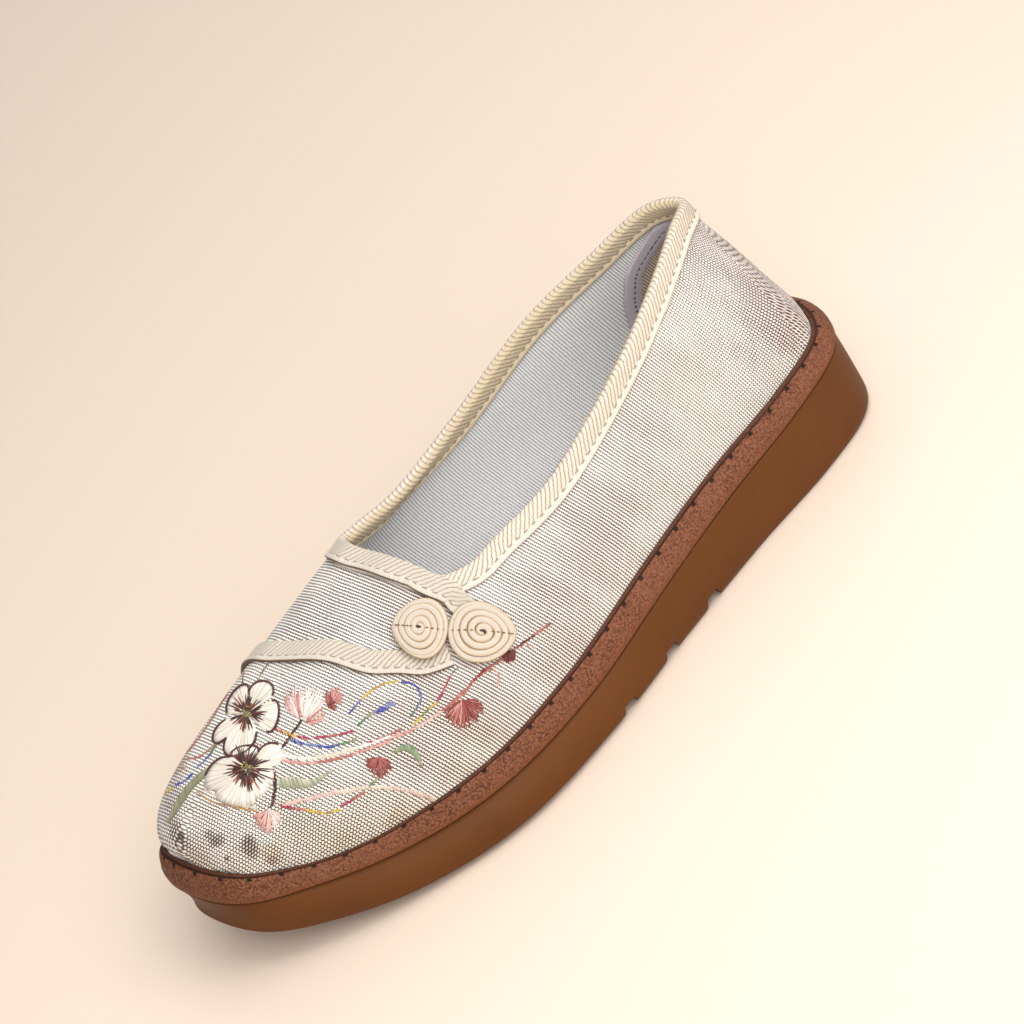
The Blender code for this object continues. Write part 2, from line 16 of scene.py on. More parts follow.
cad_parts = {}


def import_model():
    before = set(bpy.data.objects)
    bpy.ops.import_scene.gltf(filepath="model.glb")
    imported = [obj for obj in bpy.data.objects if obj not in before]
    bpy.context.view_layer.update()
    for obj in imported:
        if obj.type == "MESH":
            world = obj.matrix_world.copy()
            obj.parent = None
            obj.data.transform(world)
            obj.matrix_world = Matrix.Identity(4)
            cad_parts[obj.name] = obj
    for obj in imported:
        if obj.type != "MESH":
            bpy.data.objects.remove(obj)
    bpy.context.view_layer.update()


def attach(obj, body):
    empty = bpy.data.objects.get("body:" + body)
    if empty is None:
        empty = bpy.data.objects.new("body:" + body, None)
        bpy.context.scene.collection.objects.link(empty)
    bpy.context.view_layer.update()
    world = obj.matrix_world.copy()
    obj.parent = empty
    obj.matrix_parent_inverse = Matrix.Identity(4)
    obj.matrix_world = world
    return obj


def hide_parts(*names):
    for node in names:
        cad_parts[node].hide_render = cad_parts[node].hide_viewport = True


def table(names, rows):
    """Named columns of a table."""
    return dict(zip(names.split(), np.array(rows, float).T))


# Sole, at the joint between outsole and foxing
SHOE_LENGTH = 0.250
BALL_WIDTH = 0.0886
HEEL_WIDTH = 0.0624
FOREFOOT_WALL = 0.0143
HEEL_WALL = 0.0263
TOE_SPRING = 0.0154
ROCKER_LENGTH = 0.066
SOLE_FLARE = 0.0025
GROUND_TUCK = 0.0015
JOINT_ROUND = 0.0004

# Foxing strip between outsole and upper
FOXING_HEIGHT = 0.0090
FOXING_LEDGE = 0.0040
FOXING_BULGE = 0.0006

# Upper and collar
UPPER_WALL = 0.0016
UPPER_LEAN = 0.0020
THROAT_SETBACK = 0.0980
OPENING_LENGTH = 0.1350
COLLAR_WIDTH = 0.0500
SIDE_HEIGHT = 0.0620
THROAT_RISE = 0.0080
BACK_RISE = 0.0235

# Twill tape, insole, heel lining and frog
TAPE_WIDTH = 0.0068
TAPE_THICKNESS = 0.0009
CLEARANCE = 0.0003
TAPE_CLEARANCE = 0.00045
INSOLE_THICKNESS = 0.0040
LINING_THICKNESS = 0.0008
FROG_WIDTH = 0.0180
FROG_FRONT_LENGTH = 0.0149
FROG_REAR_LENGTH = 0.0179
FROG_RIM = 0.0024
FROG_CROWN = 0.0044

# Lugs of the outsole
NOTCH_MOUTH = 0.0070
NOTCH_ROOF = 0.0044
NOTCH_DEPTH = 0.0043
NOTCH_PITCH = 0.0204
GROOVE_WIDTH = 0.0026
GROOVE_DEPTH = 0.0012
GROOVE_PITCH = 0.0100

# How finely the forms are divided
FAN_LINES = 72
FAN_CROWDING = 0.25

# Sole edge: along from the toe as a share of the length, sides as shares of the local half width
OUTLINE = table("along lateral medial", [
    (0.030, 0.29, 0.55),
    (0.100, 0.54, 0.69),
    (0.200, 0.79, 0.87),
    (0.320, 0.99, 1.01),
    (0.460, 1.02, 0.97),
    (0.600, 0.99, 0.94),
    (0.740, 0.98, 1.03),
    (0.870, 0.96, 1.04),
    (0.965, 0.73, 0.70),
])
TOE_TIP_ACROSS = -0.226
HEEL_TIP_ACROSS = 0.037
BALL_ALONG = 0.32
HEEL_ALONG = 0.87

# Side of the sole: wall runs from the forefoot wall (0) to the heel wall (1), the rest are shares
SIDE = table("along wall foxing ledge flare tuck", [
    (0.00, -0.14, 1.27, 1.11, -0.46, 1.3),
    (0.10, 0.00, 0.84, 0.58, 1.00, 0.8),
    (0.25, 0.00, 0.94, 0.64, 1.40, 0.5),
    (0.45, 0.00, 1.07, 0.78, 0.96, 0.6),
    (0.70, 0.46, 1.04, 0.99, 0.43, 0.7),
    (1.00, 1.00, 0.75, 1.20, 0.10, 1.2),
])

# Profile of the outsole wall: outwards as a share of the flare, upwards as a share of the wall
WALL_PROFILE = [(0.55, 0.12), (0.95, 0.30), (1.00, 0.45), (0.75, 0.70)]

# Collar edge by turn in degrees: across as a share of half the collar width, along as a share of
# the opening, then how much of the throat rise and of the back rise it has
COLLAR = table("turn across along throat back", [
    (0, -0.08, 0.01, 0.98, 0.00),
    (15, 0.36, 0.03, 0.79, 0.00),
    (28, 0.77, 0.06, 0.15, 0.00),
    (38, 0.90, 0.10, 0.01, 0.00),
    (60, 0.96, 0.19, 0.00, 0.04),
    (90, 1.01, 0.37, 0.00, 0.14),
    (120, 0.96, 0.61, 0.00, 0.55),
    (145, 0.72, 0.79, 0.00, 0.87),
    (162, 0.38, 0.92, 0.00, 1.02),
    (180, 0.00, 1.00, 0.00, 0.96),
    (198, -0.48, 0.95, 0.00, 0.94),
    (215, -0.79, 0.81, 0.00, 0.74),
    (240, -0.96, 0.62, 0.00, 0.60),
    (270, -1.00, 0.37, 0.00, 0.26),
    (300, -0.92, 0.19, 0.00, 0.12),
    (325, -0.82, 0.06, 0.70, 0.00),
    (340, -0.67, 0.01, 0.98, 0.00),
    (350, -0.34, 0.00, 1.15, 0.00),
])

# How each fan line of the upper bends: lean outwards above the foxing, wall as a share of the rise,
# brow as a share of the run, pitch as a share of the rise over the brow
FAN = table("turn lean wall brow pitch", [
    (0, 0.30, 0.60, 0.53, 0.60),
    (30, 0.75, 0.49, 0.50, 0.48),
    (60, 1.00, 0.50, 0.50, 0.65),
    (90, 1.25, 0.45, 0.45, 0.85),
    (125, 1.00, 0.40, 0.40, 1.00),
    (155, 0.36, 0.32, 0.38, 1.01),
    (180, -0.20, 0.20, 0.36, 1.05),
    (205, 0.50, 0.36, 0.38, 1.00),
    (235, 1.00, 0.40, 0.40, 1.00),
    (270, 1.25, 0.45, 0.45, 0.85),
    (300, 1.00, 0.51, 0.50, 0.61),
    (330, 0.66, 0.47, 0.48, 0.66),
])

# Centre line of the piping along the front edge of the crossing panel, as turn and level
PIPING_PATH = [(-60, 0.05), (-50, 0.32), (-36, 0.56), (-18, 0.70), (6, 0.765), (22, 0.78),
               (40, 0.74), (53, 0.67), (60, 0.635)]

# Frog coils: turn, level, heading of the tip in degrees from the fan line, and length
FROG_COILS = {
    "frog_coil_front": (40.5, 0.824, -118, FROG_FRONT_LENGTH),
    "frog_coil_rear": (68.0, 0.620, 79, FROG_REAR_LENGTH),
}

# Heel lining: how far down it is, and its half spread in degrees of turn there
LINING = table("down spread", [(0.0, 19), (0.12, 30), (0.35, 39), (0.65, 44.5), (1.0, 48)])
LINING_FOOT_LEVEL = 0.10

# Lugs: name, share of the length where the row starts, number of cuts, then the width, gap, pitch
# and depth of each
GROOVE_GAP = (GROOVE_WIDTH, GROOVE_WIDTH)
LUGS = [
    ("notch", 0.489, 3, 2 * BALL_WIDTH, (NOTCH_MOUTH, NOTCH_ROOF), NOTCH_PITCH, NOTCH_DEPTH),
    ("forefoot_groove", 0.27, 5, 0.62 * BALL_WIDTH, GROOVE_GAP, GROOVE_PITCH, GROOVE_DEPTH),
    ("heel_groove", 0.77, 4, 0.60 * HEEL_WIDTH, GROOVE_GAP, GROOVE_PITCH, GROOVE_DEPTH),
]


def unit(vectors):
    """Vectors brought to length one."""
    return vectors / np.linalg.norm(vectors, axis=-1, keepdims=True)


def run_length(points):
    """Length along a row of points."""
    return np.concatenate([[0], np.cumsum(np.linalg.norm(np.diff(points, axis=0), axis=1))])


def smooth(places, values, where, period=None):
    """Cubic curve through the values, with the slope of a parabola through each three."""
    places = np.asarray(places, float)
    values = np.asarray(values, float)
    if period:
        places = np.concatenate([[places[-1] - period], places, places[:2] + period])
        values = np.concatenate([[values[-1]], values, values[:2]])
        where = np.mod(np.asarray(where, float) - places[1], period) + places[1]
    step = np.diff(places)
    slope = np.diff(values) / step
    bend = np.empty_like(values)
    bend[1:-1] = (step[:-1] * slope[1:] + step[1:] * slope[:-1]) / (step[:-1] + step[1:])
    bend[0] = slope[0]
    bend[-1] = slope[-1]
    at = np.clip(np.searchsorted(places, where, side="right") - 1, 0, len(places) - 2)
    s = (where - places[at]) / step[at]
    start = (1 + 2 * s) * (1 - s) ** 2 * values[at] + s * (1 - s) ** 2 * step[at] * bend[at]
    end = s * s * (3 - 2 * s) * values[at + 1] + s * s * (s - 1) * step[at] * bend[at + 1]
    return start + end


def ease(share):
    """Soft step from 0 to 1."""
    share = np.clip(share, 0, 1)
    return share * share * (3 - 2 * share)


def share_along(turn):
    """Share of the length from the toe at a turn in degrees."""
    return (1 - np.cos(np.radians(turn))) / 2


def turn_at(along):
    """Lateral turn in degrees at a share of the length."""
    return np.degrees(np.arccos(1 - 2 * along))


def half_width(along):
    """Half the width that the outline's shares are taken of."""
    blend = ease((along - BALL_ALONG) / (HEEL_ALONG - BALL_ALONG))
    return (BALL_WIDTH + (HEEL_WIDTH - BALL_WIDTH) * blend) / 2


def side(turn, name):
    """A column of the side table at a turn."""
    return smooth(SIDE["along"], SIDE[name], share_along(turn))


def sole_edge(turn):
    """Joint between outsole and foxing, seen from above, before it is centred."""
    turns = turn_at(OUTLINE["along"])
    half = half_width(OUTLINE["along"])
    lateral = OUTLINE["lateral"] * half
    medial = OUTLINE["medial"] * half
    tip = TOE_TIP_ACROSS * BALL_WIDTH / 2
    heel = HEEL_TIP_ACROSS * HEEL_WIDTH / 2
    places = np.concatenate([[0], turns, [180], 360 - turns[::-1]])
    values = np.concatenate([[tip], lateral, [heel], -medial[::-1]])
    across = smooth(places, values, turn, 360)
    return np.stack([across, (share_along(turn) - 0.5) * SHOE_LENGTH], -1)


def plan_normal(turn):
    """Outward normal of the sole edge, seen from above."""
    ahead = sole_edge(turn + 0.5) - sole_edge(turn - 0.5)
    return unit(np.stack([ahead[..., 1], -ahead[..., 0]], -1))


def centre():
    """Middle of the widest outline of the sole, which the origin lies below."""
    turn = np.arange(FAN_LINES) * 360.0 / FAN_LINES
    flare = np.maximum(side(turn, "flare") * SOLE_FLARE, FOXING_BULGE)
    widest = sole_edge(turn) + plan_normal(turn) * flare[:, None]
    return (widest.max(0) + widest.min(0)) / 2


CENTRE = centre()


def plan(turn, out):
    """Point beside the sole edge, out metres outwards, in the shoe's own frame."""
    return sole_edge(turn) + plan_normal(turn) * np.asarray(out)[..., None] - CENTRE


def ground(turn):
    """Height of the outsole's underside: flat, with the toe spring at the front."""
    rocker = ROCKER_LENGTH / SHOE_LENGTH
    return TOE_SPRING * np.clip((rocker - share_along(turn)) / rocker, 0, None) ** 2


def wall_height(turn):
    """Height of the outsole's side wall."""
    return FOREFOOT_WALL + side(turn, "wall") * (HEEL_WALL - FOREFOOT_WALL)


def sole_top(turn):
    """Height of the outsole's top face."""
    return ground(turn) + wall_height(turn)


def foxing_top(turn):
    """Height of the upper edge of the foxing."""
    return sole_top(turn) + side(turn, "foxing") * FOXING_HEIGHT


def ledge(turn):
    """How far the upper's outer face stands inside the sole edge."""
    return side(turn, "ledge") * FOXING_LEDGE


def stand(turn, out, height):
    """3D point at a plan offset and a height."""
    flat = plan(turn, out)
    return np.concatenate([flat, np.broadcast_to(height, flat.shape[:-1])[..., None]], -1)


def feather(turn):
    """Edge where the upper comes out of the foxing."""
    return stand(turn, -ledge(turn), foxing_top(turn))


def collar(turn):
    """Fold of the collar binding, round the opening."""
    def at(name):
        return smooth(COLLAR["turn"], COLLAR[name], turn, 360)

    across = at("across") * COLLAR_WIDTH / 2
    along = THROAT_SETBACK - SHOE_LENGTH / 2 + at("along") * OPENING_LENGTH
    height = SIDE_HEIGHT + at("throat") * THROAT_RISE + at("back") * BACK_RISE
    return np.stack([across - CENTRE[0], along - CENTRE[1], height], -1)


def fan(turn, name):
    """A column of the fan table at a turn."""
    return smooth(FAN["turn"], FAN[name], turn, 360)


def outer_face(turn, level):
    """Outer face of the upper, on the fan line at this turn."""
    turn = np.asarray(turn, float)
    level = np.asarray(level, float)[..., None]
    low = feather(turn)
    high = collar(turn)
    span = high - low
    upright = low.copy()
    upright[..., :2] += plan_normal(turn) * (fan(turn, "lean") * UPPER_LEAN)[..., None]
    upright[..., 2] += fan(turn, "wall") * span[..., 2]
    brow = fan(turn, "brow")
    brink = low + span * (1 - brow)[..., None]
    brink[..., 2] = low[..., 2] + span[..., 2] * (1 - brow * fan(turn, "pitch"))
    rest = 1 - level
    return (rest ** 3 * low + 3 * level * rest ** 2 * upright
            + 3 * level ** 2 * rest * brink + level ** 3 * high)


def face_slopes(turn, level):
    """How the outer face moves for a degree of turn and for a whole level."""
    turn_step = 0.5
    level_step = 0.01
    low = np.clip(level - level_step, 0, 1)
    high = np.clip(level + level_step, 0, 1)
    by_turn = outer_face(turn + turn_step, level) - outer_face(turn - turn_step, level)
    by_level = (outer_face(turn, high) - outer_face(turn, low)) / (high - low)[..., None]
    return by_turn / (2 * turn_step), by_level


def face_normal(turn, level):
    """Outward normal of the upper."""
    return unit(np.cross(*face_slopes(turn, level)))


def on_upper(turn, level, out):
    """Point beside the upper's outer face, out metres outwards."""
    turn, level = np.broadcast_arrays(np.asarray(turn, float), np.asarray(level, float))
    return outer_face(turn, level) + face_normal(turn, level) * np.asarray(out, float)[..., None]


def slide(turn, level, shift):
    """Turn and level of the face's point nearest to a place that is moved by a 3D shift."""
    turn, level = np.broadcast_arrays(np.asarray(turn, float), np.asarray(level, float))
    target = outer_face(turn, level) + shift
    for _ in range(5):
        by_turn, by_level = face_slopes(turn, level)
        miss = target - outer_face(turn, level)
        turn_turn = (by_turn * by_turn).sum(-1)
        turn_level = (by_turn * by_level).sum(-1)
        level_level = (by_level * by_level).sum(-1)
        miss_turn = (miss * by_turn).sum(-1)
        miss_level = (miss * by_level).sum(-1)
        scale = turn_turn * level_level - turn_level ** 2
        turn = turn + (level_level * miss_turn - turn_level * miss_level) / scale
        level = np.clip(level + (turn_turn * miss_level - turn_level * miss_turn) / scale, 0, 1)
    return turn, level


def away_from_collar(turn):
    """Direction along the face, square to the collar edge and away from the opening, and how far
    a whole level reaches in it."""
    by_turn, by_level = face_slopes(turn, np.ones_like(turn))
    along = unit(by_turn)
    away = -(by_level - (by_level * along).sum(-1, keepdims=True) * along)
    reach = np.linalg.norm(away, axis=-1, keepdims=True)
    return away / reach, reach[..., 0]


def below_collar(turn, down):
    """Turn and level of the place that lies down metres square below the collar fold."""
    turn = np.asarray(turn, float)
    away, _ = away_from_collar(turn)
    return slide(turn, np.ones_like(turn), away * down)


def level_below_collar(turn, down):
    """Level on the same fan line that lies down metres below the collar fold."""
    return 1 - down / away_from_collar(turn)[1]


def beside(turn, level, right, up, out):
    """Points of the face near places, right and up in metres along it, and out metres off it."""
    turn = np.atleast_1d(np.asarray(turn, float))
    level = np.atleast_1d(np.asarray(level, float))
    normal = face_normal(turn, level)
    lift = unit(face_slopes(turn, level)[1])
    across = np.cross(lift, normal)
    right, up, out, turns, levels = np.broadcast_arrays(
        np.atleast_2d(right), np.atleast_2d(up), np.atleast_2d(out), turn[:, None], level[:, None])
    shift = right[..., None] * across[:, None] + up[..., None] * lift[:, None]
    turns, levels = slide(turns, levels, shift)
    return on_upper(turns, levels, out)


def fan_turns(count):
    """Turns of so many fan lines, closer together at the toe and the throat."""
    even = np.arange(count) * 360.0 / count
    return even - np.degrees(FAN_CROWDING * np.sin(np.radians(even)))


# How finely the visible pieces are divided
CLOTH_LINES = 480
CLOTH_LEVELS = 104
LINING_LEVELS = 56
RING_LINES = 900
SOLE_LINES = 560
INSOLE_LINES = 240
PATCH_ROWS = 48
PATCH_LINES = 96

# Cloth: pitches of the ribs, beads and weft in millimetres, and the direction square to the ribs
RIB_PITCH = 0.92
LINING_RIB_PITCH = 0.86
BEAD_PITCH = 0.94
WEFT_PITCH = 0.42
RIB_NORMAL = (-0.127, 1.0, 0.291)

# Where the ribs start to follow the bend of the heel and of the toe, and over which length
HEEL_BEND = (0.050, 0.055)
TOE_BEND = (-0.020, 0.030)

# Light and dark colours of the cloths, the tapes with the darkness of the painted shade along their
# lower edge, and the cord, whose dark colour is painted shade between its turns as well as its fine
# thread lines
LINEN = (0.94, 0.91, 0.87), (0.060, 0.034, 0.025)
LINING_LINEN = (0.99, 0.99, 1.0), (0.36, 0.36, 0.39)
HEEL_PAD = (0.66, 0.55, 0.42), (0.19, 0.13, 0.09)
CREAM_TWILL = (0.71, 0.655, 0.59), (0.27, 0.17, 0.08), 0.45
TAN_TWILL = (0.60, 0.50, 0.35), (0.27, 0.19, 0.11), 0.45
SHADE_EDGED_TWILL = (0.60, 0.56, 0.51), (0.28, 0.18, 0.09), 0.95
CREAM_CORD = (0.54, 0.495, 0.44), (0.26, 0.16, 0.075)

# Edge of the dotted weave at the toe: its place in the middle, and how it runs back at the sides
TOE_CAP = -0.112
TOE_CAP_SLOPE = 1.17

# Where the weave grows dotted again towards the heel
HEEL_DOTS = (0.066, 0.092)

# Collar tape: rows of each leg, rows that lie inside the shoe, and where its inside is folded
LEG_ROWS = 17
INNER_LEG = (LEG_ROWS + 1, 2 * LEG_ROWS + 3)
FOLD_DEPTH = 0.0011

# Centre line of the front band, as turn and level: along the throat and over the collar corner down
# to the frog
FRONT_BAND = [(-19, 0.972), (-9, 0.979), (3, 0.981), (14, 0.978), (19.3, 0.979), (23.3, 0.978),
              (32.4, 0.957), (46.4, 0.896), (56.7, 0.814), (60.5, 0.764)]

# Twill tape, in millimetres along and down; depths in metres
TWILL_PITCH = 1.65
TWILL_SLANT = 0.60
TWILL_DEPTH = 0.00010
LIP_START = 5.1
LIP_MIDDLE = 6.05
LIP_HALF = 0.95
LIP_HEIGHT = 0.00055
CHAIN_PITCH = 3.0
LINK_PITCH = 1.5
# Band of painted shade along the tape's lower edge, in millimetres down
EDGE_SHADE_SPAN = (6.45, 6.72)

# Foxing: how far its stitched crease lies above its lower edge, and the pitch of the stitches
CREASE_UP = 9.3
STITCH_PITCH = 9.0

# Length round the back of the heel, that both sides of the cloth are brought to
HEEL_WRAP = 0.129

# Frog cord: pitch of its turns, and how finely it and the pad below it are divided
COIL_PITCH = 0.00178
COIL_STEPS = 64
CORD_SIDES = 14
PAD_SIDES = 48

# Stitches along the middle of a coil, as shares of its half length from the middle to the tip
FROG_STITCHES = (-0.92, -0.72, -0.52, -0.32, 0.0, 0.30, 0.46, 0.62, 0.78, 0.92)

# Foxing strip: inwards as a share of the ledge (outwards of the bulge), and upwards
FOXING_PROFILE = [
    (0, 0), (0, 0.04), (-1, 0.12), (-1, 0.22), (-0.9, 0.34), (-0.4, 0.46), (0.08, 0.58),
    (0.2, 0.7), (0.34, 0.8), (0.48, 0.875), (0.58, 0.905), (0.66, 0.885), (0.72, 0.88),
    (0.78, 0.905), (0.86, 0.955), (0.93, 0.985), (1, 1), (1, 0.6), (1, 0), (0.5, 0),
]

# Embroidery thread: step along a line in pixels, radius and sides
STITCH_STEP = 1.35
THREAD_RADIUS = 0.00019
THREAD_SIDES = 5

# Photo frame and camera
FRAME_SIZE = 1024
FOCAL_PIXELS = 3245.75
CAMERA_PLACE = (0.72803, -0.21338, 0.56195)
CAMERA_AZIMUTH = -17.362
CAMERA_ELEVATION = 34.005
CAMERA_ROLL = 34.426
FILM_WIDTH = 36.0


def camera_axes():
    """Right, up and back directions of the camera."""
    azimuth = math.radians(CAMERA_AZIMUTH)
    elevation = math.radians(CAMERA_ELEVATION)
    roll = math.radians(CAMERA_ROLL)
    back = Vector((math.cos(elevation) * math.cos(azimuth), math.cos(elevation) * math.sin(azimuth),
                   math.sin(elevation)))
    level = Vector((0, 0, 1)).cross(back).normalized()
    upright = back.cross(level)
    right = math.cos(roll) * level - math.sin(roll) * upright
    up = math.sin(roll) * level + math.cos(roll) * upright
    return right, up, back


def pixel_ray(x, y):
    """Direction from the camera through a place of the photo."""
    right, up, back = camera_axes()
    half = FRAME_SIZE / 2
    return (right * (x - half) / FOCAL_PIXELS - up * (y - half) / FOCAL_PIXELS - back).normalized()


class Shader:
    """Small helper to build a Principled material from nodes."""

    def __init__(self, name, roughness):
        self.material = bpy.data.materials.new(name)
        self.material.use_nodes = True
        self.tree = self.material.node_tree
        self.surface = self.tree.nodes["Principled BSDF"]
        self.set(Roughness=roughness)

    def put(self, target, value):
        """Link a socket, or set a plain value."""
        if isinstance(value, bpy.types.NodeSocket):
            self.tree.links.new(value, target)
        else:
            target.default_value = (*value, 1) if target.type == "RGBA" else value

    def node(self, kind, inputs=(), out=0, **settings):
        """Node with its settings, and inputs by place or by name; gives back an output."""
        made = self.tree.nodes.new("ShaderNode" + kind)
        for key, value in settings.items():
            setattr(made, key, value)
        for key, value in inputs.items() if isinstance(inputs, dict) else enumerate(inputs):
            self.put(made.inputs[key], value)
        return made.outputs[out]

    def math(self, operation, *values):
        return self.node("Math", values, operation=operation)

    def add(self, a, b):
        return self.math("ADD", a, b)

    def mul(self, a, b):
        return self.math("MULTIPLY", a, b)

    def span(self, value, low, high, first=0.0, last=1.0):
        """Value mapped softly from low..high to first..last."""
        return self.node("MapRange", (value, low, high, first, last),
                         interpolation_type="SMOOTHSTEP")

    def stripe(self, value, pitch=1):
        """Distance from the middle of each step of the pitch: 0 in the middle and 1 at its ends."""
        part = self.math("FRACT", value if pitch == 1 else self.mul(value, 1 / pitch))
        return self.math("ABSOLUTE", self.add(self.mul(part, 2.0), -1.0))

    def near(self, value, place, inner, outer):
        """1 within an inner distance of a place, and 0 beyond an outer one."""
        return self.span(self.math("ABSOLUTE", self.add(value, -place)), inner, outer, 1.0, 0.0)

    def axes(self, vector):
        """The three parts of a vector."""
        return self.node("SeparateXYZ", (vector,), slice(0, 3))

    def flat(self, layer):
        """The two coordinates of a UV layer."""
        return self.axes(self.node("UVMap", uv_map=layer))[:2]

    def join(self, x, y, z=0.0):
        """Vector from numbers."""
        return self.node("CombineXYZ", (x, y, z))

    def noise(self, vector, scale, detail=2.0, rough=0.5):
        """Noise value about 0.5."""
        return self.node("TexNoise", {"Vector": vector, "Scale": scale, "Detail": detail,
                                      "Roughness": rough})

    def drawn(self, x, x_scale, y, y_scale, scale=1.0, detail=2.0, rough=0.5):
        """Noise that is drawn out along two coordinates by their own scales."""
        place = self.join(self.mul(x, x_scale), self.mul(y, y_scale))
        return self.noise(place, scale, detail, rough)

    def mix(self, share, first, second, kind="MIX"):
        """Colour mix."""
        return self.node("Mix", {0: share, 6: first, 7: second}, 2, data_type="RGBA",
                         blend_type=kind)

    def paint(self, layer):
        """Colour of a painted layer."""
        return self.node("Attribute", attribute_name=layer)

    def object_place(self):
        """Place on the object, in metres."""
        return self.node("TexCoord", out="Object")

    def bump(self, height, depth, strength=1.0):
        """Relief of the given depth in metres."""
        relief = {"Height": height, "Distance": depth, "Strength": strength}
        self.set(Normal=self.node("Bump", relief))

    def set(self, **values):
        """Values or links of the shader's own sockets; gives back the material."""
        for key, value in values.items():
            self.put(self.surface.inputs[key.replace("_", " ")], value)
        return self.material


def cloth_material(name, pitch, light, dark, painted):
    """Ribbed linen: pale raised ribs, and between them dark lines of beads like a plain weave."""
    s = Shader(name, 0.92)
    across, along = s.flat("cloth")
    place = s.join(across, along)
    drift = s.noise(place, 0.11)
    wobble = s.drawn(across, 0.9, along, 0.25)
    fleck = s.drawn(across, 1.3, along, 0.8, 1.6, 3.0, 0.7)
    thread = s.drawn(across, 4.0, along, 1.2, 2.0)
    ribs = s.add(s.mul(across, 1 / pitch), s.add(s.mul(drift, 0.6), s.mul(wobble, 0.14)))
    row = s.math("FLOOR", ribs)
    rib_start = s.node("TexWhiteNoise", {"W": row}, noise_dimensions="1D")
    beads = s.add(s.mul(along, 1 / BEAD_PITCH), s.add(s.mul(row, 0.5), s.mul(rib_start, 0.12)))
    bead = s.span(s.stripe(s.add(beads, s.mul(drift, 1.2))), 0.10, 0.80)
    cover = s.span(fleck, 0.30, 0.66, 0.76, 1.0)
    base = s.mix(s.mul(s.noise(place, 0.9, 3.0, 0.6), 0.24), light, (0.76, 0.68, 0.56))
    soak = 0.0
    weave = 0.16
    if painted:
        dyed = s.paint("print")
        soak = s.math("SUBTRACT", 1.0, s.node("SeparateColor", (dyed,), 1))
        x, y, _ = s.axes(s.object_place())
        cap = s.add(y, s.mul(s.math("ABSOLUTE", x), -TOE_CAP_SLOPE))
        ends = s.math("MAXIMUM", s.span(cap, TOE_CAP - 0.007, TOE_CAP + 0.007, 0.58, 0.16),
                      s.span(y, *HEEL_DOTS, 0.16, 0.46))
        weave = s.add(ends, s.mul(s.span(fleck, 0.45, 0.70), 0.25))
        base = s.mix(0.70, base, dyed, "MULTIPLY")
        dark = s.mix(0.75, dark, dyed, "MULTIPLY")
    knit = s.mul(s.add(bead, -0.40), weave)
    edge = s.add(s.add(s.stripe(ribs), knit), s.mul(soak, 0.34))
    line = s.mul(s.span(edge, 0.43, 0.66), s.add(s.mul(bead, 0.36), 0.64))
    deep = s.mul(line, s.math("MINIMUM", s.add(cover, soak), 1.0))
    weft = s.mul(s.span(s.stripe(along, WEFT_PITCH), 0.3, 1.0, 0.0, 0.12), s.span(fleck, 0.3, 0.7))
    shade = s.mix(s.math("MAXIMUM", deep, weft), base, dark)
    s.bump(s.add(s.math("SUBTRACT", 1.0, deep), s.mul(thread, 0.5)), 0.00022, 0.8)
    return s.set(Base_Color=shade, Sheen_Weight=0.08, Sheen_Roughness=0.5, Specular_IOR_Level=0.2)


def tape_material(name, light, groove, edge_shade):
    """Twill tape: slanted threads on the band, a chain of stitches by its lip and painted shade
    along its lower edge.
    """
    s = Shader(name, 0.8)
    along, down = s.flat("tape")
    bend = s.drawn(along, 0.5, down, 1.0, 0.6)
    stray = s.drawn(along, 0.6, 0.0, 0.0)
    speck = s.drawn(along, 1.4, down, 1.4, 1.6, 3.0, 0.7)
    slant = s.add(s.mul(along, 1 / TWILL_PITCH), s.mul(down, TWILL_SLANT))
    slant = s.add(slant, s.mul(bend, 0.5))
    ridge = s.span(s.stripe(slant), 0.40, 0.90)
    fine = s.stripe(s.mul(slant, 3.0))
    band = s.span(down, LIP_START - 0.25, LIP_START + 0.1, 1.0, 0.0)
    chain = s.add(s.stripe(along, CHAIN_PITCH), s.mul(stray, 0.6))
    gap = s.mul(s.span(chain, 0.62, 0.90, 1.0, 0.0),
                s.near(s.add(down, s.mul(stray, 0.5)), LIP_START + 0.25, 0.08, 0.34))
    dash = s.stripe(s.add(s.mul(down, 0.95), s.mul(s.math("FLOOR", slant), 0.37)))
    dash = s.mul(ridge, s.span(dash, 0.2, 0.8, 0.45, 1.0))
    tone = s.mul(s.add(s.mul(dash, 0.95), s.mul(s.span(fine, 0.4, 1.0), 0.32)), band)
    tone = s.mul(tone, s.span(speck, 0.25, 0.7, 0.55, 1.0))
    links = s.span(s.stripe(along, LINK_PITCH / 2), 0.5, 1.0, 0.0, 0.22)
    deep = s.math("MAXIMUM", tone, s.mul(links, s.math("SUBTRACT", 1.0, band)))
    shade = s.mix(deep, s.mix(s.mul(speck, 0.25), light, (0.72, 0.58, 0.40)), groove)
    # Dark gaps of the chain stitch, and painted shade along the tape's lower edge where it stands
    # off the cloth
    seams_and_shade = s.math("MAXIMUM", s.mul(gap, 0.62), s.span(down, *EDGE_SHADE_SPAN, 0.0, edge_shade))
    dents = s.add(s.mul(ridge, s.mul(band, 0.6)), gap)
    s.bump(s.math("SUBTRACT", s.mul(fine, -0.35), dents), 0.00018, 0.9)
    return s.set(Base_Color=s.mix(seams_and_shade, shade, (0.120, 0.066, 0.030)), Sheen_Weight=0.10,
                 Sheen_Roughness=0.4, Specular_IOR_Level=0.3)


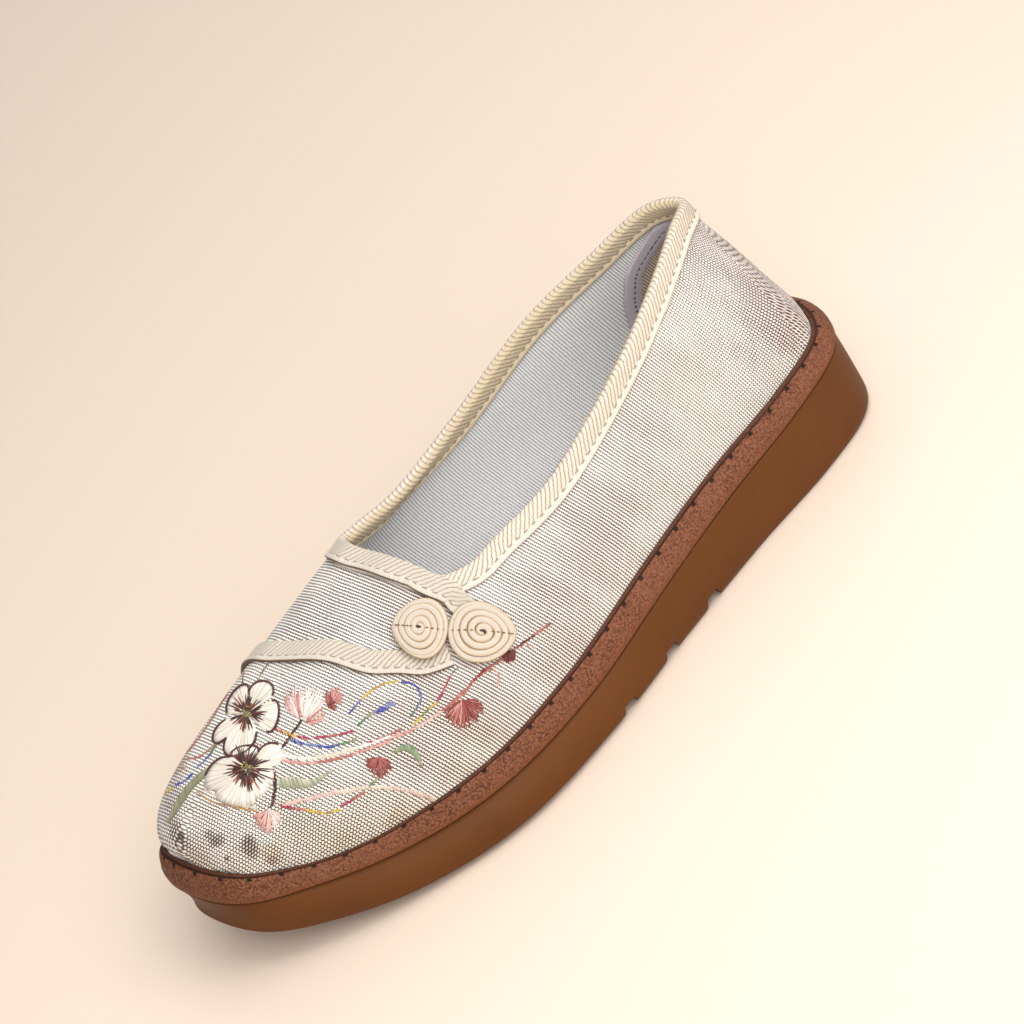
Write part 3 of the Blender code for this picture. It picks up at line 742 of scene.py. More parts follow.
def cord_material(name, light, groove):
    """Cream frog cord: flat turns of fine parallel threads, with painted shade in tan and dark tan
    on their sides and between them.
    """
    s = Shader(name, 0.7)
    along, around = s.flat("cord")
    sway = s.drawn(along, 0.30, around, 4.0)
    speck = s.drawn(along, 1.2, around, 9.0, 1.1, 3.0, 0.6)
    thread = s.stripe(s.add(s.mul(around, 10.0), sway))
    flank = s.math("ABSOLUTE", s.math("COSINE", s.mul(around, 2 * math.pi)))
    # Painted shade where each turn meets the next: dark tan lines between the turns
    seams_and_shade = s.mul(s.span(flank, 0.66, 0.96), s.span(speck, 0.25, 0.6, 0.60, 1.0))
    fibre = s.mul(s.span(thread, 0.45, 1.0), s.span(speck, 0.3, 0.7, 0.05, 0.34))
    base = s.mix(s.mul(speck, 0.3), light, (0.66, 0.50, 0.32))
    # Painted shade: the sides of each turn are made tan
    base = s.mix(s.span(flank, 0.30, 0.75, 0.0, 0.45), base, (0.60, 0.42, 0.24))
    s.bump(s.math("SUBTRACT", 1.0, s.add(s.mul(thread, 0.5), seams_and_shade)), 0.00014, 0.8)
    # The groove colour serves both the painted shade between the turns and the fine thread lines
    return s.set(Base_Color=s.mix(s.math("MAXIMUM", seams_and_shade, fibre), base, groove), Sheen_Weight=0.10,
                 Sheen_Roughness=0.4, Specular_IOR_Level=0.3)


def foxing_material(name):
    """Pebbled brown strip: stitched crease near its upper edge with painted shade in it and above
    it, and a pale thin line at the sole.
    """
    s = Shader(name, 0.62)
    along, up = s.flat("strip")
    place = s.object_place()
    pebble = s.node("TexVoronoi", {"Vector": place, "Scale": 1900.0, "Randomness": 1.0})
    grain = s.noise(place, 1500.0, 3.0, 0.7)
    patch = s.noise(place, 90.0)
    crease = s.near(up, CREASE_UP, 0.10, 0.50)
    hole = s.mul(s.span(s.stripe(along, STITCH_PITCH), 0.10, 0.18, 1.0, 0.0),
                 s.near(up, CREASE_UP - 0.75, 0.3, 0.9))
    glint = s.mul(s.near(up, 0.30, 0.06, 0.30),
                  s.span(s.noise(s.join(along, 0.0), 1.1), 0.40, 0.62))
    shadow = s.span(up, CREASE_UP - 0.5, CREASE_UP + 0.1, 0.0, 0.72)
    base = s.mix(s.span(grain, 0.36, 0.64), (0.075, 0.022, 0.009), (0.225, 0.082, 0.040))
    # Painted shade darkens the crease line and, as the shadow, the strip above it
    for share, colour in ((s.mul(s.span(patch, 0.35, 0.75), 0.22), (0.245, 0.095, 0.055)),
                          (s.span(up, 1.2, 4.2, 0.6, 0.0), (0.190, 0.062, 0.016)),
                          (shadow, (0.062, 0.022, 0.010)),
                          (s.mul(crease, 0.75), (0.030, 0.009, 0.005)),
                          (hole, (0.012, 0.004, 0.003)),
                          (s.mul(glint, 0.55), (0.62, 0.44, 0.28))):
        base = s.mix(share, base, colour)
    bumps = s.add(s.mul(pebble, -0.5), s.mul(grain, 1.2))
    s.bump(s.math("SUBTRACT", bumps, s.add(s.mul(crease, 1.2), s.mul(hole, 2.0))), 0.00030, 0.8)
    return s.set(Base_Color=base, Roughness=s.span(grain, 0.3, 0.7, 0.75, 0.55),
                 Specular_IOR_Level=0.25)


def sole_material(name):
    """Smooth matte brown moulded foam, with faint mottling."""
    s = Shader(name, 0.5)
    place = s.object_place()
    cloud = s.noise(place, 34.0, 3.0, 0.6)
    grain = s.noise(place, 1400.0, 3.0, 0.6)
    base = s.mix(s.span(cloud, 0.3, 0.7), (0.094, 0.028, 0.0040), (0.112, 0.036, 0.0060))
    s.bump(grain, 0.00006, 0.5)
    return s.set(Base_Color=s.mix(s.mul(grain, 0.22), base, (0.150, 0.054, 0.012)),
                 Roughness=s.span(cloud, 0.3, 0.7, 0.50, 0.62), Specular_IOR_Level=0.18)


def leather_material(name):
    """Smooth lilac-grey lining leather with a row of small stitches."""
    s = Shader(name, 0.45)
    inward, along = s.flat("patch")
    grain = s.noise(s.object_place(), 1100.0, 4.0, 0.65)
    stitch = s.mul(s.span(s.stripe(along, 2.1), 0.35, 0.6, 1.0, 0.0),
                   s.near(inward, 3.4, 0.18, 0.42))
    base = s.mix(s.mul(grain, 0.5), (0.46, 0.42, 0.47), (0.58, 0.53, 0.58))
    s.bump(s.math("SUBTRACT", s.mul(grain, 0.5), s.mul(stitch, 1.5)), 0.00015, 0.6)
    return s.set(Base_Color=s.mix(stitch, base, (0.04, 0.03, 0.03)), Specular_IOR_Level=0.4)


def thread_material(name):
    """Embroidery thread in its painted colours, with a silky gloss."""
    s = Shader(name, 0.42)
    fibre = s.noise(s.object_place(), 2600.0, 2.0, 0.6)
    gloss = s.mix(fibre, (0.72, 0.70, 0.68), (1.0, 1.0, 1.0))
    return s.set(Base_Color=s.mix(1.0, s.paint("dye"), gloss, "MULTIPLY"), Sheen_Weight=0.2,
                 Sheen_Roughness=0.4, Specular_IOR_Level=0.5)


def plain_material(name, colour, roughness):
    """Even material for the floor."""
    return Shader(name, roughness).set(Base_Color=colour, Specular_IOR_Level=0.3)


def mesh_object(name, points, faces, finish, angle=180):
    """Object from arrays of points and faces."""
    mesh = bpy.data.meshes.new(name)
    mesh.from_pydata(np.asarray(points, float).reshape(-1, 3).tolist(), [], faces)
    mesh.materials.append(finish)
    mesh.shade_smooth()
    if angle < 180:
        mesh.set_sharp_from_angle(angle=math.radians(angle))
    item = bpy.data.objects.new(name, mesh)
    bpy.context.scene.collection.objects.link(item)
    return item


def grid_faces(rows, cols, wrap_rows, wrap_cols, first=0):
    """Quads of a grid, and the grid places of their corners."""
    row = np.arange(rows if wrap_rows else rows - 1)
    col = np.arange(cols if wrap_cols else cols - 1)
    r, c = np.meshgrid(row, col, indexing="ij")
    corner_rows = np.stack([r, r, r + 1, r + 1], -1).reshape(-1, 4)
    corner_cols = np.stack([c, c + 1, c + 1, c], -1).reshape(-1, 4)
    faces = first + (corner_rows % rows) * cols + corner_cols % cols
    return faces, corner_rows, corner_cols


def lay_flat(item, layer, values):
    """UV layer with a value for each corner of the faces."""
    uv = item.data.uv_layers.new(name=layer)
    uv.data.foreach_set("uv", values.astype(np.float32).ravel())


def pairs(first, second):
    """Two coordinates spread over a grid."""
    return np.stack(np.broadcast_arrays(first, second), -1)


def second_finish(item, finish, chosen):
    """Another material on the chosen faces."""
    item.data.materials.append(finish)
    item.data.polygons.foreach_set("material_index", chosen.astype(np.int32))


def grid_object(name, points, flat, layer, finish, wrap_rows=False, angle=180, caps=False):
    """Object from rings of points; flat has one more column, and one more row where rows close."""
    rows, cols = points.shape[:2]
    faces, corner_rows, corner_cols = grid_faces(rows, cols, wrap_rows, True)
    faces = faces.tolist()
    values = [flat[corner_rows.ravel(), corner_cols.ravel()]]
    if caps:
        for row in (0, rows - 1):
            faces.append([row * cols + i for i in range(cols)])
            values.append(flat[row, :cols])
    item = mesh_object(name, points, faces, finish, angle)
    lay_flat(item, layer, np.concatenate(values))
    outward(item)
    return item


def ring_object(name, rows, finish, angle):
    """Solid from rings of points, closed across the first ring and the last."""
    count, lines = len(rows), len(rows[0])
    faces = grid_faces(count, lines, False, True)[0].tolist()
    faces += cap_across(0, lines) + cap_across((count - 1) * lines, lines)
    item = mesh_object(name, rows, faces, finish, angle)
    outward(item)
    return item


def cap_across(first, count):
    """Faces across a ring, from each lateral point to the medial point at the same length."""
    half = count // 2
    faces = [(first, first + 1, first + count - 1)]
    for i in range(1, half - 1):
        faces.append((first + i, first + i + 1, first + count - i - 1, first + count - i))
    faces.append((first + half - 1, first + half, first + half + 1))
    return faces


def outward(item):
    """Turn the faces of a closed piece to the outside."""
    form = bmesh.new()
    form.from_mesh(item.data)
    bmesh.ops.recalc_face_normals(form, faces=form.faces)
    form.to_mesh(item.data)
    form.free()


def put_on(item, slot, *nodes):
    """The piece rides on the shoe and stands for the frame's nodes."""
    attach(item, "root")
    if nodes:
        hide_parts(*nodes)
    return item


def cloth_relief(turn, level):
    """Soft rise and fall of the linen, in metres outwards."""
    angle = np.radians(turn)
    toe = ease((60 - np.abs((turn + 180) % 360 - 180)) / 45)
    low = np.clip(1 - level / 0.16, 0, 1) ** 2
    pleats = np.sin(angle * 31 + 0.6 * np.sin(angle * 7)) * 0.00022 * low * (0.35 + toe)
    swell = (np.sin(angle * 5 + 4 * level) * np.sin(9 * level + 1.3 * np.cos(angle * 3)) * 0.00030
             + np.sin(angle * 11 - 6 * level + 0.8) * 0.00010)
    rest = np.clip(level * 6, 0, 1) * np.clip((1 - level) * 8, 0, 1)
    return pleats + swell * rest


def heel_arcs(places):
    """Length round the shoe at half height, as y ahead of the middle and scaled to HEEL_WRAP at
    the back of the heel, of places seen from above."""
    turns = np.linspace(0, 180, 361)
    arcs = np.empty(places.shape[:-1])
    for lateral in (True, False):
        loop = outer_face(turns if lateral else 360 - turns, np.full(361, 0.5))[:, :2]
        run = run_length(loop)
        middle = np.argmin(np.abs(loop[:, 1]))
        run = np.where(np.arange(361) < middle, loop[:, 1], run - run[middle] + loop[middle, 1])
        run *= np.where(run > 0, HEEL_WRAP / run[-1], 1)
        chosen = (places[..., 0] >= 0) == lateral
        some = places[chosen]
        near = np.concatenate([((part[:, None, :] - loop) ** 2).sum(-1).argmin(1)
                               for part in np.array_split(some, 40)])
        heading = np.gradient(loop, axis=0)[near]
        ahead = ((some - loop[near]) * heading).sum(1) / (heading ** 2).sum(1)
        arcs[chosen] = run[near] + np.clip(ahead, -0.5, 0.5) * np.gradient(run)[near]
    return arcs


def rib_axes(points):
    """Cloth coordinates in millimetres, across and along the ribs, of points of the upper."""
    x, y, z = points[..., 0], points[..., 1], points[..., 2]
    rear = ease((y - HEEL_BEND[0]) / HEEL_BEND[1])
    front = ease((TOE_BEND[0] - y) / TOE_BEND[1])
    normal = np.array(RIB_NORMAL)
    arcs = heel_arcs(points[..., :2])
    across = y + rear * (arcs - y) + normal[0] * x * (1 - rear) + normal[2] * z
    bins = np.linspace(-SHOE_LENGTH / 2, SHOE_LENGTH / 2, 51)
    places = np.digitize(y, bins)
    ridge = [z[places == i].max() if (places == i).any() else 0.06 for i in range(52)]
    crest = np.interp(y, np.append(bins, bins[-1] + 0.005) - 0.0025, ridge)
    over = (1 - rear) * np.tanh(np.abs(x) / 0.012) + rear
    along = np.abs(x) * (1 - rear) + (crest - z) * over
    along = along + front * (1.05 * np.hypot(x, crest - z) - along)
    return np.stack([across / np.linalg.norm(normal), along], -1) * 1000


def make_upper(finish, lining):
    """Linen outside and lining inside, as one closed shell."""
    turns = fan_turns(CLOTH_LINES)
    top = level_below_collar(turns, TAPE_THICKNESS + 3 * CLEARANCE)
    low = sole_top(turns) + CLEARANCE
    rows = [stand(turns, -ledge(turns), low)]
    for i in range(CLOTH_LEVELS + 1):
        level = top * i / CLOTH_LEVELS
        rows.append(on_upper(turns, level, cloth_relief(turns, level)))
    for i in range(LINING_LEVELS, -1, -1):
        rows.append(on_upper(turns, top * i / LINING_LEVELS, -UPPER_WALL))
    rows.append(stand(turns, -ledge(turns) - UPPER_WALL, low))
    points = np.array(rows)
    flat = np.pad(rib_axes(points), ((0, 1), (0, 1), (0, 0)), "wrap")
    item = grid_object("upper_cloth", points, flat, "cloth", finish, True, 60)
    second_finish(item, lining, np.repeat(np.arange(len(rows)) > CLOTH_LEVELS + 1, CLOTH_LINES))
    return put_on(item, "linen", "upper")


def running_length(points):
    """Length along a row of points, in millimetres."""
    return run_length(points) * 1000


def twill(along, down):
    """Height of the tape's slanted ridges, in metres."""
    wave = np.cos(2 * np.pi * (along / TWILL_PITCH + down * TWILL_SLANT))
    return TWILL_DEPTH * wave


def ridged(down):
    """1 on the ridged band, and 0 from the lip on."""
    return np.clip((LIP_START - down) / 0.5, 0, 1)


def lip(along, down):
    """Height of the chained lip, in metres."""
    roll = np.clip(1 - ((down - LIP_MIDDLE) / LIP_HALF) ** 2, 0, 1) ** 0.5
    link = 0.82 + 0.18 * np.cos(2 * np.pi * along / LINK_PITCH)
    return LIP_HEIGHT * roll * link


def make_collar_binding(finish, inner):
    """Tape folded over the collar edge, with a ridged band and a chained lip on each face."""
    turns = fan_turns(RING_LINES)
    fold = collar(turns)
    along = running_length(np.concatenate([fold, fold[:1]]))
    here = along[:-1]
    wall = UPPER_WALL
    far = TAPE_CLEARANCE + TAPE_THICKNESS
    rings = []
    across = []

    def ring(down, out, mm):
        """Ring of points down metres below the fold and out metres off the face."""
        rings.append(on_upper(*below_collar(turns, down), out))
        across.append(mm)

    def leg(face):
        """Leg of the tape on the outer (1) or the inner (-1) face."""
        for down in np.linspace(TAPE_WIDTH, TAPE_THICKNESS, LEG_ROWS)[::face]:
            mm = down * 1000
            body = far - 0.00025 * (1 - np.clip(4 * mm * (LIP_START - mm) / LIP_START ** 2, 0, 1))
            rise = body + lip(here, mm) - 0.0003 + twill(here, face * mm) * ridged(mm)
            ring(down, rise if face > 0 else -wall - rise, face * mm)

    leg(1)
    for bend in (60, 90, 120):
        angle = math.radians(bend)
        down = TAPE_THICKNESS * 1.1 - TAPE_THICKNESS * 0.9 * math.sin(angle)
        ring(max(down, 0), -wall / 2 + (wall / 2 + far - 0.0004) * math.cos(angle),
             0.3 * math.cos(angle))
        rings[-1] += np.outer(twill(here, 0.3), (0, 0, 1))
    leg(-1)
    for down, out, mm in ((TAPE_WIDTH, -wall - TAPE_CLEARANCE, -TAPE_WIDTH * 1000),
                          (FOLD_DEPTH, -wall - TAPE_CLEARANCE, 0), (FOLD_DEPTH, TAPE_CLEARANCE, 0),
                          (TAPE_WIDTH, TAPE_CLEARANCE, TAPE_WIDTH * 1000)):
        ring(down, out, mm)
    flat = pairs(along[None, :], np.abs(across + across[:1])[:, None])
    item = grid_object("collar_tape", np.array(rings), flat, "tape", finish, True, 70)
    row = np.arange(len(item.data.polygons)) // RING_LINES
    second_finish(item, inner, (row >= INNER_LEG[0]) & (row < INNER_LEG[1]))
    return put_on(item, "tape", "collar_binding")


def make_flat_tape(name, path, count, lift, finish, *nodes):
    """Tape on the outer face along a path, ridged, with a chained lip on its lower edge."""
    turn, level = smooth_path(path, count).T
    spine = outer_face(turn, level)
    along = running_length(spine)[:, None]
    half = TAPE_WIDTH / 2
    section = np.concatenate([np.linspace(-half, half, 19), [half, 0, -half]])
    normal = face_normal(turn, level)
    rise = unit(face_slopes(turn, level)[1])
    sideways = unit(np.cross(normal, np.gradient(spine, axis=0)))
    right = np.outer((sideways * np.cross(rise, normal)).sum(1), section)
    up = np.outer((sideways * rise).sum(1), section)
    mm = (half - np.append(section, section[0])) * 1000
    flat = pairs(along, mm[None, :])
    mm = mm[None, :-1]
    edge = np.clip(np.minimum(mm, 2000 * half - mm + 0.4) / 0.5, 0, 1) ** 0.5
    out = TAPE_THICKNESS * (0.35 + 0.65 * edge) - 0.0002 + lip(along, mm)
    out = out + twill(along, mm) * ridged(mm)
    out[:, -3:] = 0
    points = beside(turn, level, right, up, out + TAPE_CLEARANCE + lift[:, None])
    item = grid_object(name, points, flat, "tape", finish, False, 70, True)
    return put_on(item, "tape", *nodes)


def smooth_path(path, count):
    """Evenly numbered places on a smooth curve through the path's own."""
    knots = np.arange(len(path), dtype=float)
    where = np.linspace(0, len(path) - 1, count)
    return np.stack([smooth(knots, [p[i] for p in path], where) for i in range(2)], -1)


def band_lift(share):
    """Height of the front band above the cloth: over the collar tape, then down beside the frog."""
    return TAPE_THICKNESS * 0.75 * ease(share / 0.10) * (1 - ease((share - 0.72) / 0.12))


def coil_point(heading, length, width, angle, size):
    """Place on a coil's pointed outline, in metres right and up, for angles and sizes 0 to 1."""
    pointed = (0.45 + 0.62 * np.abs(np.sin(angle / 2))) * size + (1 - size)
    right = length / 2 * np.cos(angle) * size
    up = width / 2 * np.sin(angle) * pointed * size
    return (right * math.sin(heading) - up * math.cos(heading),
            right * math.cos(heading) + up * math.sin(heading))


def coil_crest(seat, size):
    """Height of the cord's middle on the coil's dome, from the rim (size 1) to the middle (0)."""
    return seat + FROG_RIM * 0.42 + (FROG_CROWN - FROG_RIM) * 0.95 * (1 - np.asarray(size) ** 2.4)


def around(sides):
    """Angles evenly round a ring, and their cosines and sines."""
    angle = np.arange(sides) * 2 * np.pi / sides
    return angle, np.cos(angle)[None, :, None], np.sin(angle)[None, :, None]


def make_frog_coil(name, turn, level, tip, length, finish, knots):
    """Spiral of cord on a low dome, pointed at one end, with stitches along its middle."""
    seat = TAPE_CLEARANCE + TAPE_THICKNESS + CLEARANCE
    heading = math.radians(tip)

    def place(right, up, out):
        """Points beside the coil's middle, and the directions off the cloth there."""
        points = beside(turn, level, right, up, out)[0]
        return points, unit(points - beside(turn, level, right, up, out - 0.001)[0])

    winds = FROG_WIDTH / 2 / COIL_PITCH
    share = np.linspace(0, 1, int(winds * COIL_STEPS))
    radius = COIL_PITCH * 0.62
    inward = np.clip((share * winds - 0.85) / (winds - 0.85), 0, 1)
    size = (1 - inward * (1 - 0.3 / winds)) - radius * 0.9 / (FROG_WIDTH / 2)
    spine, lift = place(*coil_point(heading, length, FROG_WIDTH, 2 * np.pi * winds * share,
                                    np.clip(size, 0.02, 1)), coil_crest(seat, size))
    aside = np.cross(unit(np.gradient(spine, axis=0)), lift)
    _, cosine, sine = around(CORD_SIDES)
    ring = radius * (aside[:, None, :] * cosine + lift[:, None, :] * sine * 0.72)
    flat = pairs(running_length(spine)[:, None], (np.arange(CORD_SIDES + 1) / CORD_SIDES)[None, :])
    cord = grid_object(name, spine[:, None, :] + ring, flat, "cord", finish, caps=True)
    put_on(cord, "cord", name.replace("cord", "coil"))

    tops = coil_crest(seat, np.abs(FROG_STITCHES) * 0.9) + radius * 0.70
    for one, top in zip(FROG_STITCHES, tops):
        reach = length / 2 * one * 0.9 + np.array([-1, 0, 1]) * (0.00042 if one else 0.0007)
        feet, away = place(reach * math.sin(heading), reach * math.cos(heading), top)
        shade = np.array([dye("thread" if one else "bark")] * 3)
        knots.append((feet, away, shade, 0.00022 if one else 0.00040, 0.00002))

    rows = []
    for one, out in ((0.98, seat), (0.96, seat + 0.4 * FROG_RIM), (0.80, None), (0.5, None),
                     (0.2, None)):
        right, up = coil_point(heading, length * 0.93, FROG_WIDTH * 0.93, around(PAD_SIDES)[0], one)
        rows.append(place(right, up, out or coil_crest(seat, one) - 0.0006)[0])
    # The pad fills the gaps between the turns; its flat coordinates are all zero, so it takes the
    # cord's painted shade colour all over, a dark sheet where there is shade
    flat = np.zeros((len(rows), PAD_SIDES + 1, 2))
    pad = grid_object(name + "_pad", np.array(rows), flat, "cord", finish, caps=True)
    put_on(pad, "cord")


def make_foxing(finish):
    """Brown strip: rounded shoulder, stitched crease and a thin turned-in upper edge."""
    turns = fan_turns(SOLE_LINES)
    base = sole_top(turns) + CLEARANCE
    height = foxing_top(turns) - base
    rows = []
    for out, up in FOXING_PROFILE:
        if out > 0:
            away = (CLEARANCE if out == 1 else 0) - out * ledge(turns)
        else:
            away = -out * FOXING_BULGE - (JOINT_ROUND if up == 0 else 0) + 0 * turns
        rows.append(stand(turns, away, base + up * height))
    points = np.array(rows)
    along = running_length(np.concatenate([points[2], points[2][:1]]))
    step = np.linalg.norm(np.diff(points, axis=0), axis=2).mean(1)
    across = np.concatenate([[0], np.cumsum(step)]) * 1000
    flat = pairs(along[None, :], np.append(across, across[-1] + 8)[:, None])
    item = grid_object("foxing_strip", points, flat, "strip", finish, True, 50)
    return put_on(item, "foxing", "foxing")


def make_outsole(finish):
    """Moulded sole with its notches and grooves cut out."""
    turns = fan_turns(SOLE_LINES)
    height = wall_height(turns)
    flare = side(turns, "flare") * SOLE_FLARE
    tuck = side(turns, "tuck") * GROUND_TUCK
    low = ground(turns)
    outs, ups = np.array([(-1, 0)] + WALL_PROFILE + [(0, 1)], float).T
    foot = ups[1]
    rows = []
    for up in np.concatenate([np.linspace(0, foot, 5), np.linspace(0.18, 0.96, 12)]):
        if up < foot:
            out = outs[1] * flare * up / foot - tuck * (1 - math.sin(math.pi / 2 * up / foot))
        else:
            out = smooth(ups, outs, up) * flare
        rows.append(stand(turns, out, low + up * height))
    rows.append(stand(turns, 0 * flare, low + height - JOINT_ROUND))
    rows.append(stand(turns, 0 * flare - JOINT_ROUND, low + height))
    item = ring_object("outsole_moulding", rows, finish, 180)
    tools = []
    for name, start, number, width, gap, pitch, depth in LUGS:
        for i in range(number):
            place = (0, (start - 0.5) * SHOE_LENGTH + i * pitch, 0)
            bpy.ops.mesh.primitive_cube_add(size=1, location=place)
            tool = bpy.context.object
            mouth = 2 * gap[0] - gap[1]
            tool.scale = (width, mouth, 2 * depth)
            for corner in tool.data.vertices:
                corner.co.y *= gap[1] / mouth if corner.co.z > 0 else 1
            modifier = item.modifiers.new(name, "BOOLEAN")
            modifier.operation = "DIFFERENCE"
            modifier.solver = "EXACT"
            modifier.object = tool
            tools.append(tool)
    bpy.context.view_layer.update()
    whole = item.evaluated_get(bpy.context.evaluated_depsgraph_get())
    item.data = bpy.data.meshes.new_from_object(whole)
    item.modifiers.clear()
    for tool in tools:
        bpy.data.objects.remove(tool, do_unlink=True)
    item.data.shade_smooth()
    item.data.set_sharp_from_angle(angle=math.radians(35))
    return put_on(item, "sole", "outsole")


def make_insole(finish):
    """Padded sock in the same linen, with a rounded rim."""
    turns = fan_turns(INSOLE_LINES)
    rim = -ledge(turns) - UPPER_WALL - CLEARANCE
    low = sole_top(turns) + CLEARANCE
    soft = INSOLE_THICKNESS / 4
    rows = [stand(turns, rim, low)]
    for angle in np.radians((0, 30, 60, 90)):
        rows.append(stand(turns, rim - soft * (1 - math.cos(angle)),
                          low + INSOLE_THICKNESS - soft * (1 - math.sin(angle))))
    item = ring_object("insole_sock", rows, finish, 60)
    where = np.array([item.data.vertices[loop.vertex_index].co for loop in item.data.loops])
    lay_flat(item, "cloth", np.stack([where[:, 1] - 0.2 * where[:, 0], where[:, 0]], -1) * 1000)
    return put_on(item, "insole", "insole")


def make_heel_lining(leather, cloth):
    """Leather border with a cloth pad inside it, in the back of the heel."""
    rows, cols = PATCH_ROWS, PATCH_LINES
    size = rows * cols
    shares = np.linspace(0, 1, rows)
    spread = smooth(LINING["down"], LINING["spread"], shares)
    turn = 180 + np.linspace(-1, 1, cols)[None, :] * spread[:, None]
    head = level_below_collar(turn.ravel(), TAPE_WIDTH + 2 * CLEARANCE).reshape(turn.shape)
    level = head + (LINING_FOOT_LEVEL - head) * shares[:, None]
    inner = np.full(turn.shape, -UPPER_WALL - CLEARANCE)
    face = on_upper(turn, level, inner)
    border = np.concatenate([face[::-1, 0], face[0, 1:], face[1:, -1]])
    away = np.linalg.norm(face[:, :, None, :] - border, axis=-1) * 1000
    gap = away.min(-1)
    thick = LINING_THICKNESS * (0.55 + 0.45 * ease(gap / 0.8)) - 0.00035 * ease((gap - 5.0) / 0.7)
    front = on_upper(turn, level, inner - thick - 0.0006 * ease((gap - 6) / 9))
    quads = grid_faces(rows, cols, False, False)[0]
    grid = np.arange(size).reshape(rows, cols)
    rim = np.concatenate([grid[0], grid[1:, -1], grid[-1, -2::-1], grid[-2:0:-1, 0]])
    ahead = np.roll(rim, -1)
    walls = np.stack([rim, ahead, size + ahead, size + rim], -1)
    faces = np.concatenate([quads, quads + size, walls])
    item = mesh_object("heel_patch", np.array([face, front]), faces.tolist(), leather, 60)
    flat = np.stack([gap, running_length(border)[away.argmin(-1)]], -1).reshape(-1, 2)
    for layer, values in (("patch", flat), ("cloth", rib_axes(face.reshape(-1, 3)))):
        lay_flat(item, layer, values[faces.ravel() % size])
    inside = gap.ravel()[faces % size].min(1) > 5.3
    order = np.arange(len(faces)) // len(quads)
    second_finish(item, cloth, inside & (order == 1))
    outward(item)
    return put_on(item, "lining", "heel_lining")


# Dyes of the thread, as display values from 0 to 255
DYES = {
    "white": (246, 243, 238), "cream": (232, 222, 206), "shell": (228, 200, 190),
    "pink": (222, 168, 160), "rose": (186, 112, 104), "red": (150, 52, 46), "brick": (186, 74, 56),
    "maroon": (92, 28, 26), "bark": (58, 26, 22), "crimson": (176, 44, 84),
    "yellow": (222, 192, 66), "gold": (196, 152, 88), "blue": (62, 78, 168),
    "sky": (120, 136, 190), "green": (84, 138, 92), "sage": (158, 168, 138),
    "olive": (128, 126, 92), "tan": (176, 128, 96), "stamen": (150, 146, 92),
    "ash": (206, 200, 186), "thread": (120, 86, 50),
}

# Plum blossoms: middle, reach of the dark strokes, and each petal's left shoulder, tip and right
# shoulder, all in photo pixels, then the shares of its edge between which it is outlined
BLOSSOMS = [
    ((248, 713), 21, [
        ((250, 695), (264, 681), (273, 696), 0, 1), ((272, 701), (279, 716), (267, 732), 0, 1),
        ((257, 732), (237, 756), (226, 739), 0, 1), ((227, 738), (213, 739), (226, 720), 0, 1),
        ((227, 714), (238, 688), (249, 695), 0, 1),
    ]),
    ((247.2, 768.5), 26, [
        ((272, 766), (268, 789), (252, 795), 0, 0), ((256, 797), (234, 806), (216, 790), 0, 0),
        ((217, 790), (206, 775), (230, 757), 0.45, 1),
        ((259, 752), (280, 745), (278, 765), 0, 0.5), ((232, 757), (245, 746), (259, 752), 0, 1),
    ]),
]
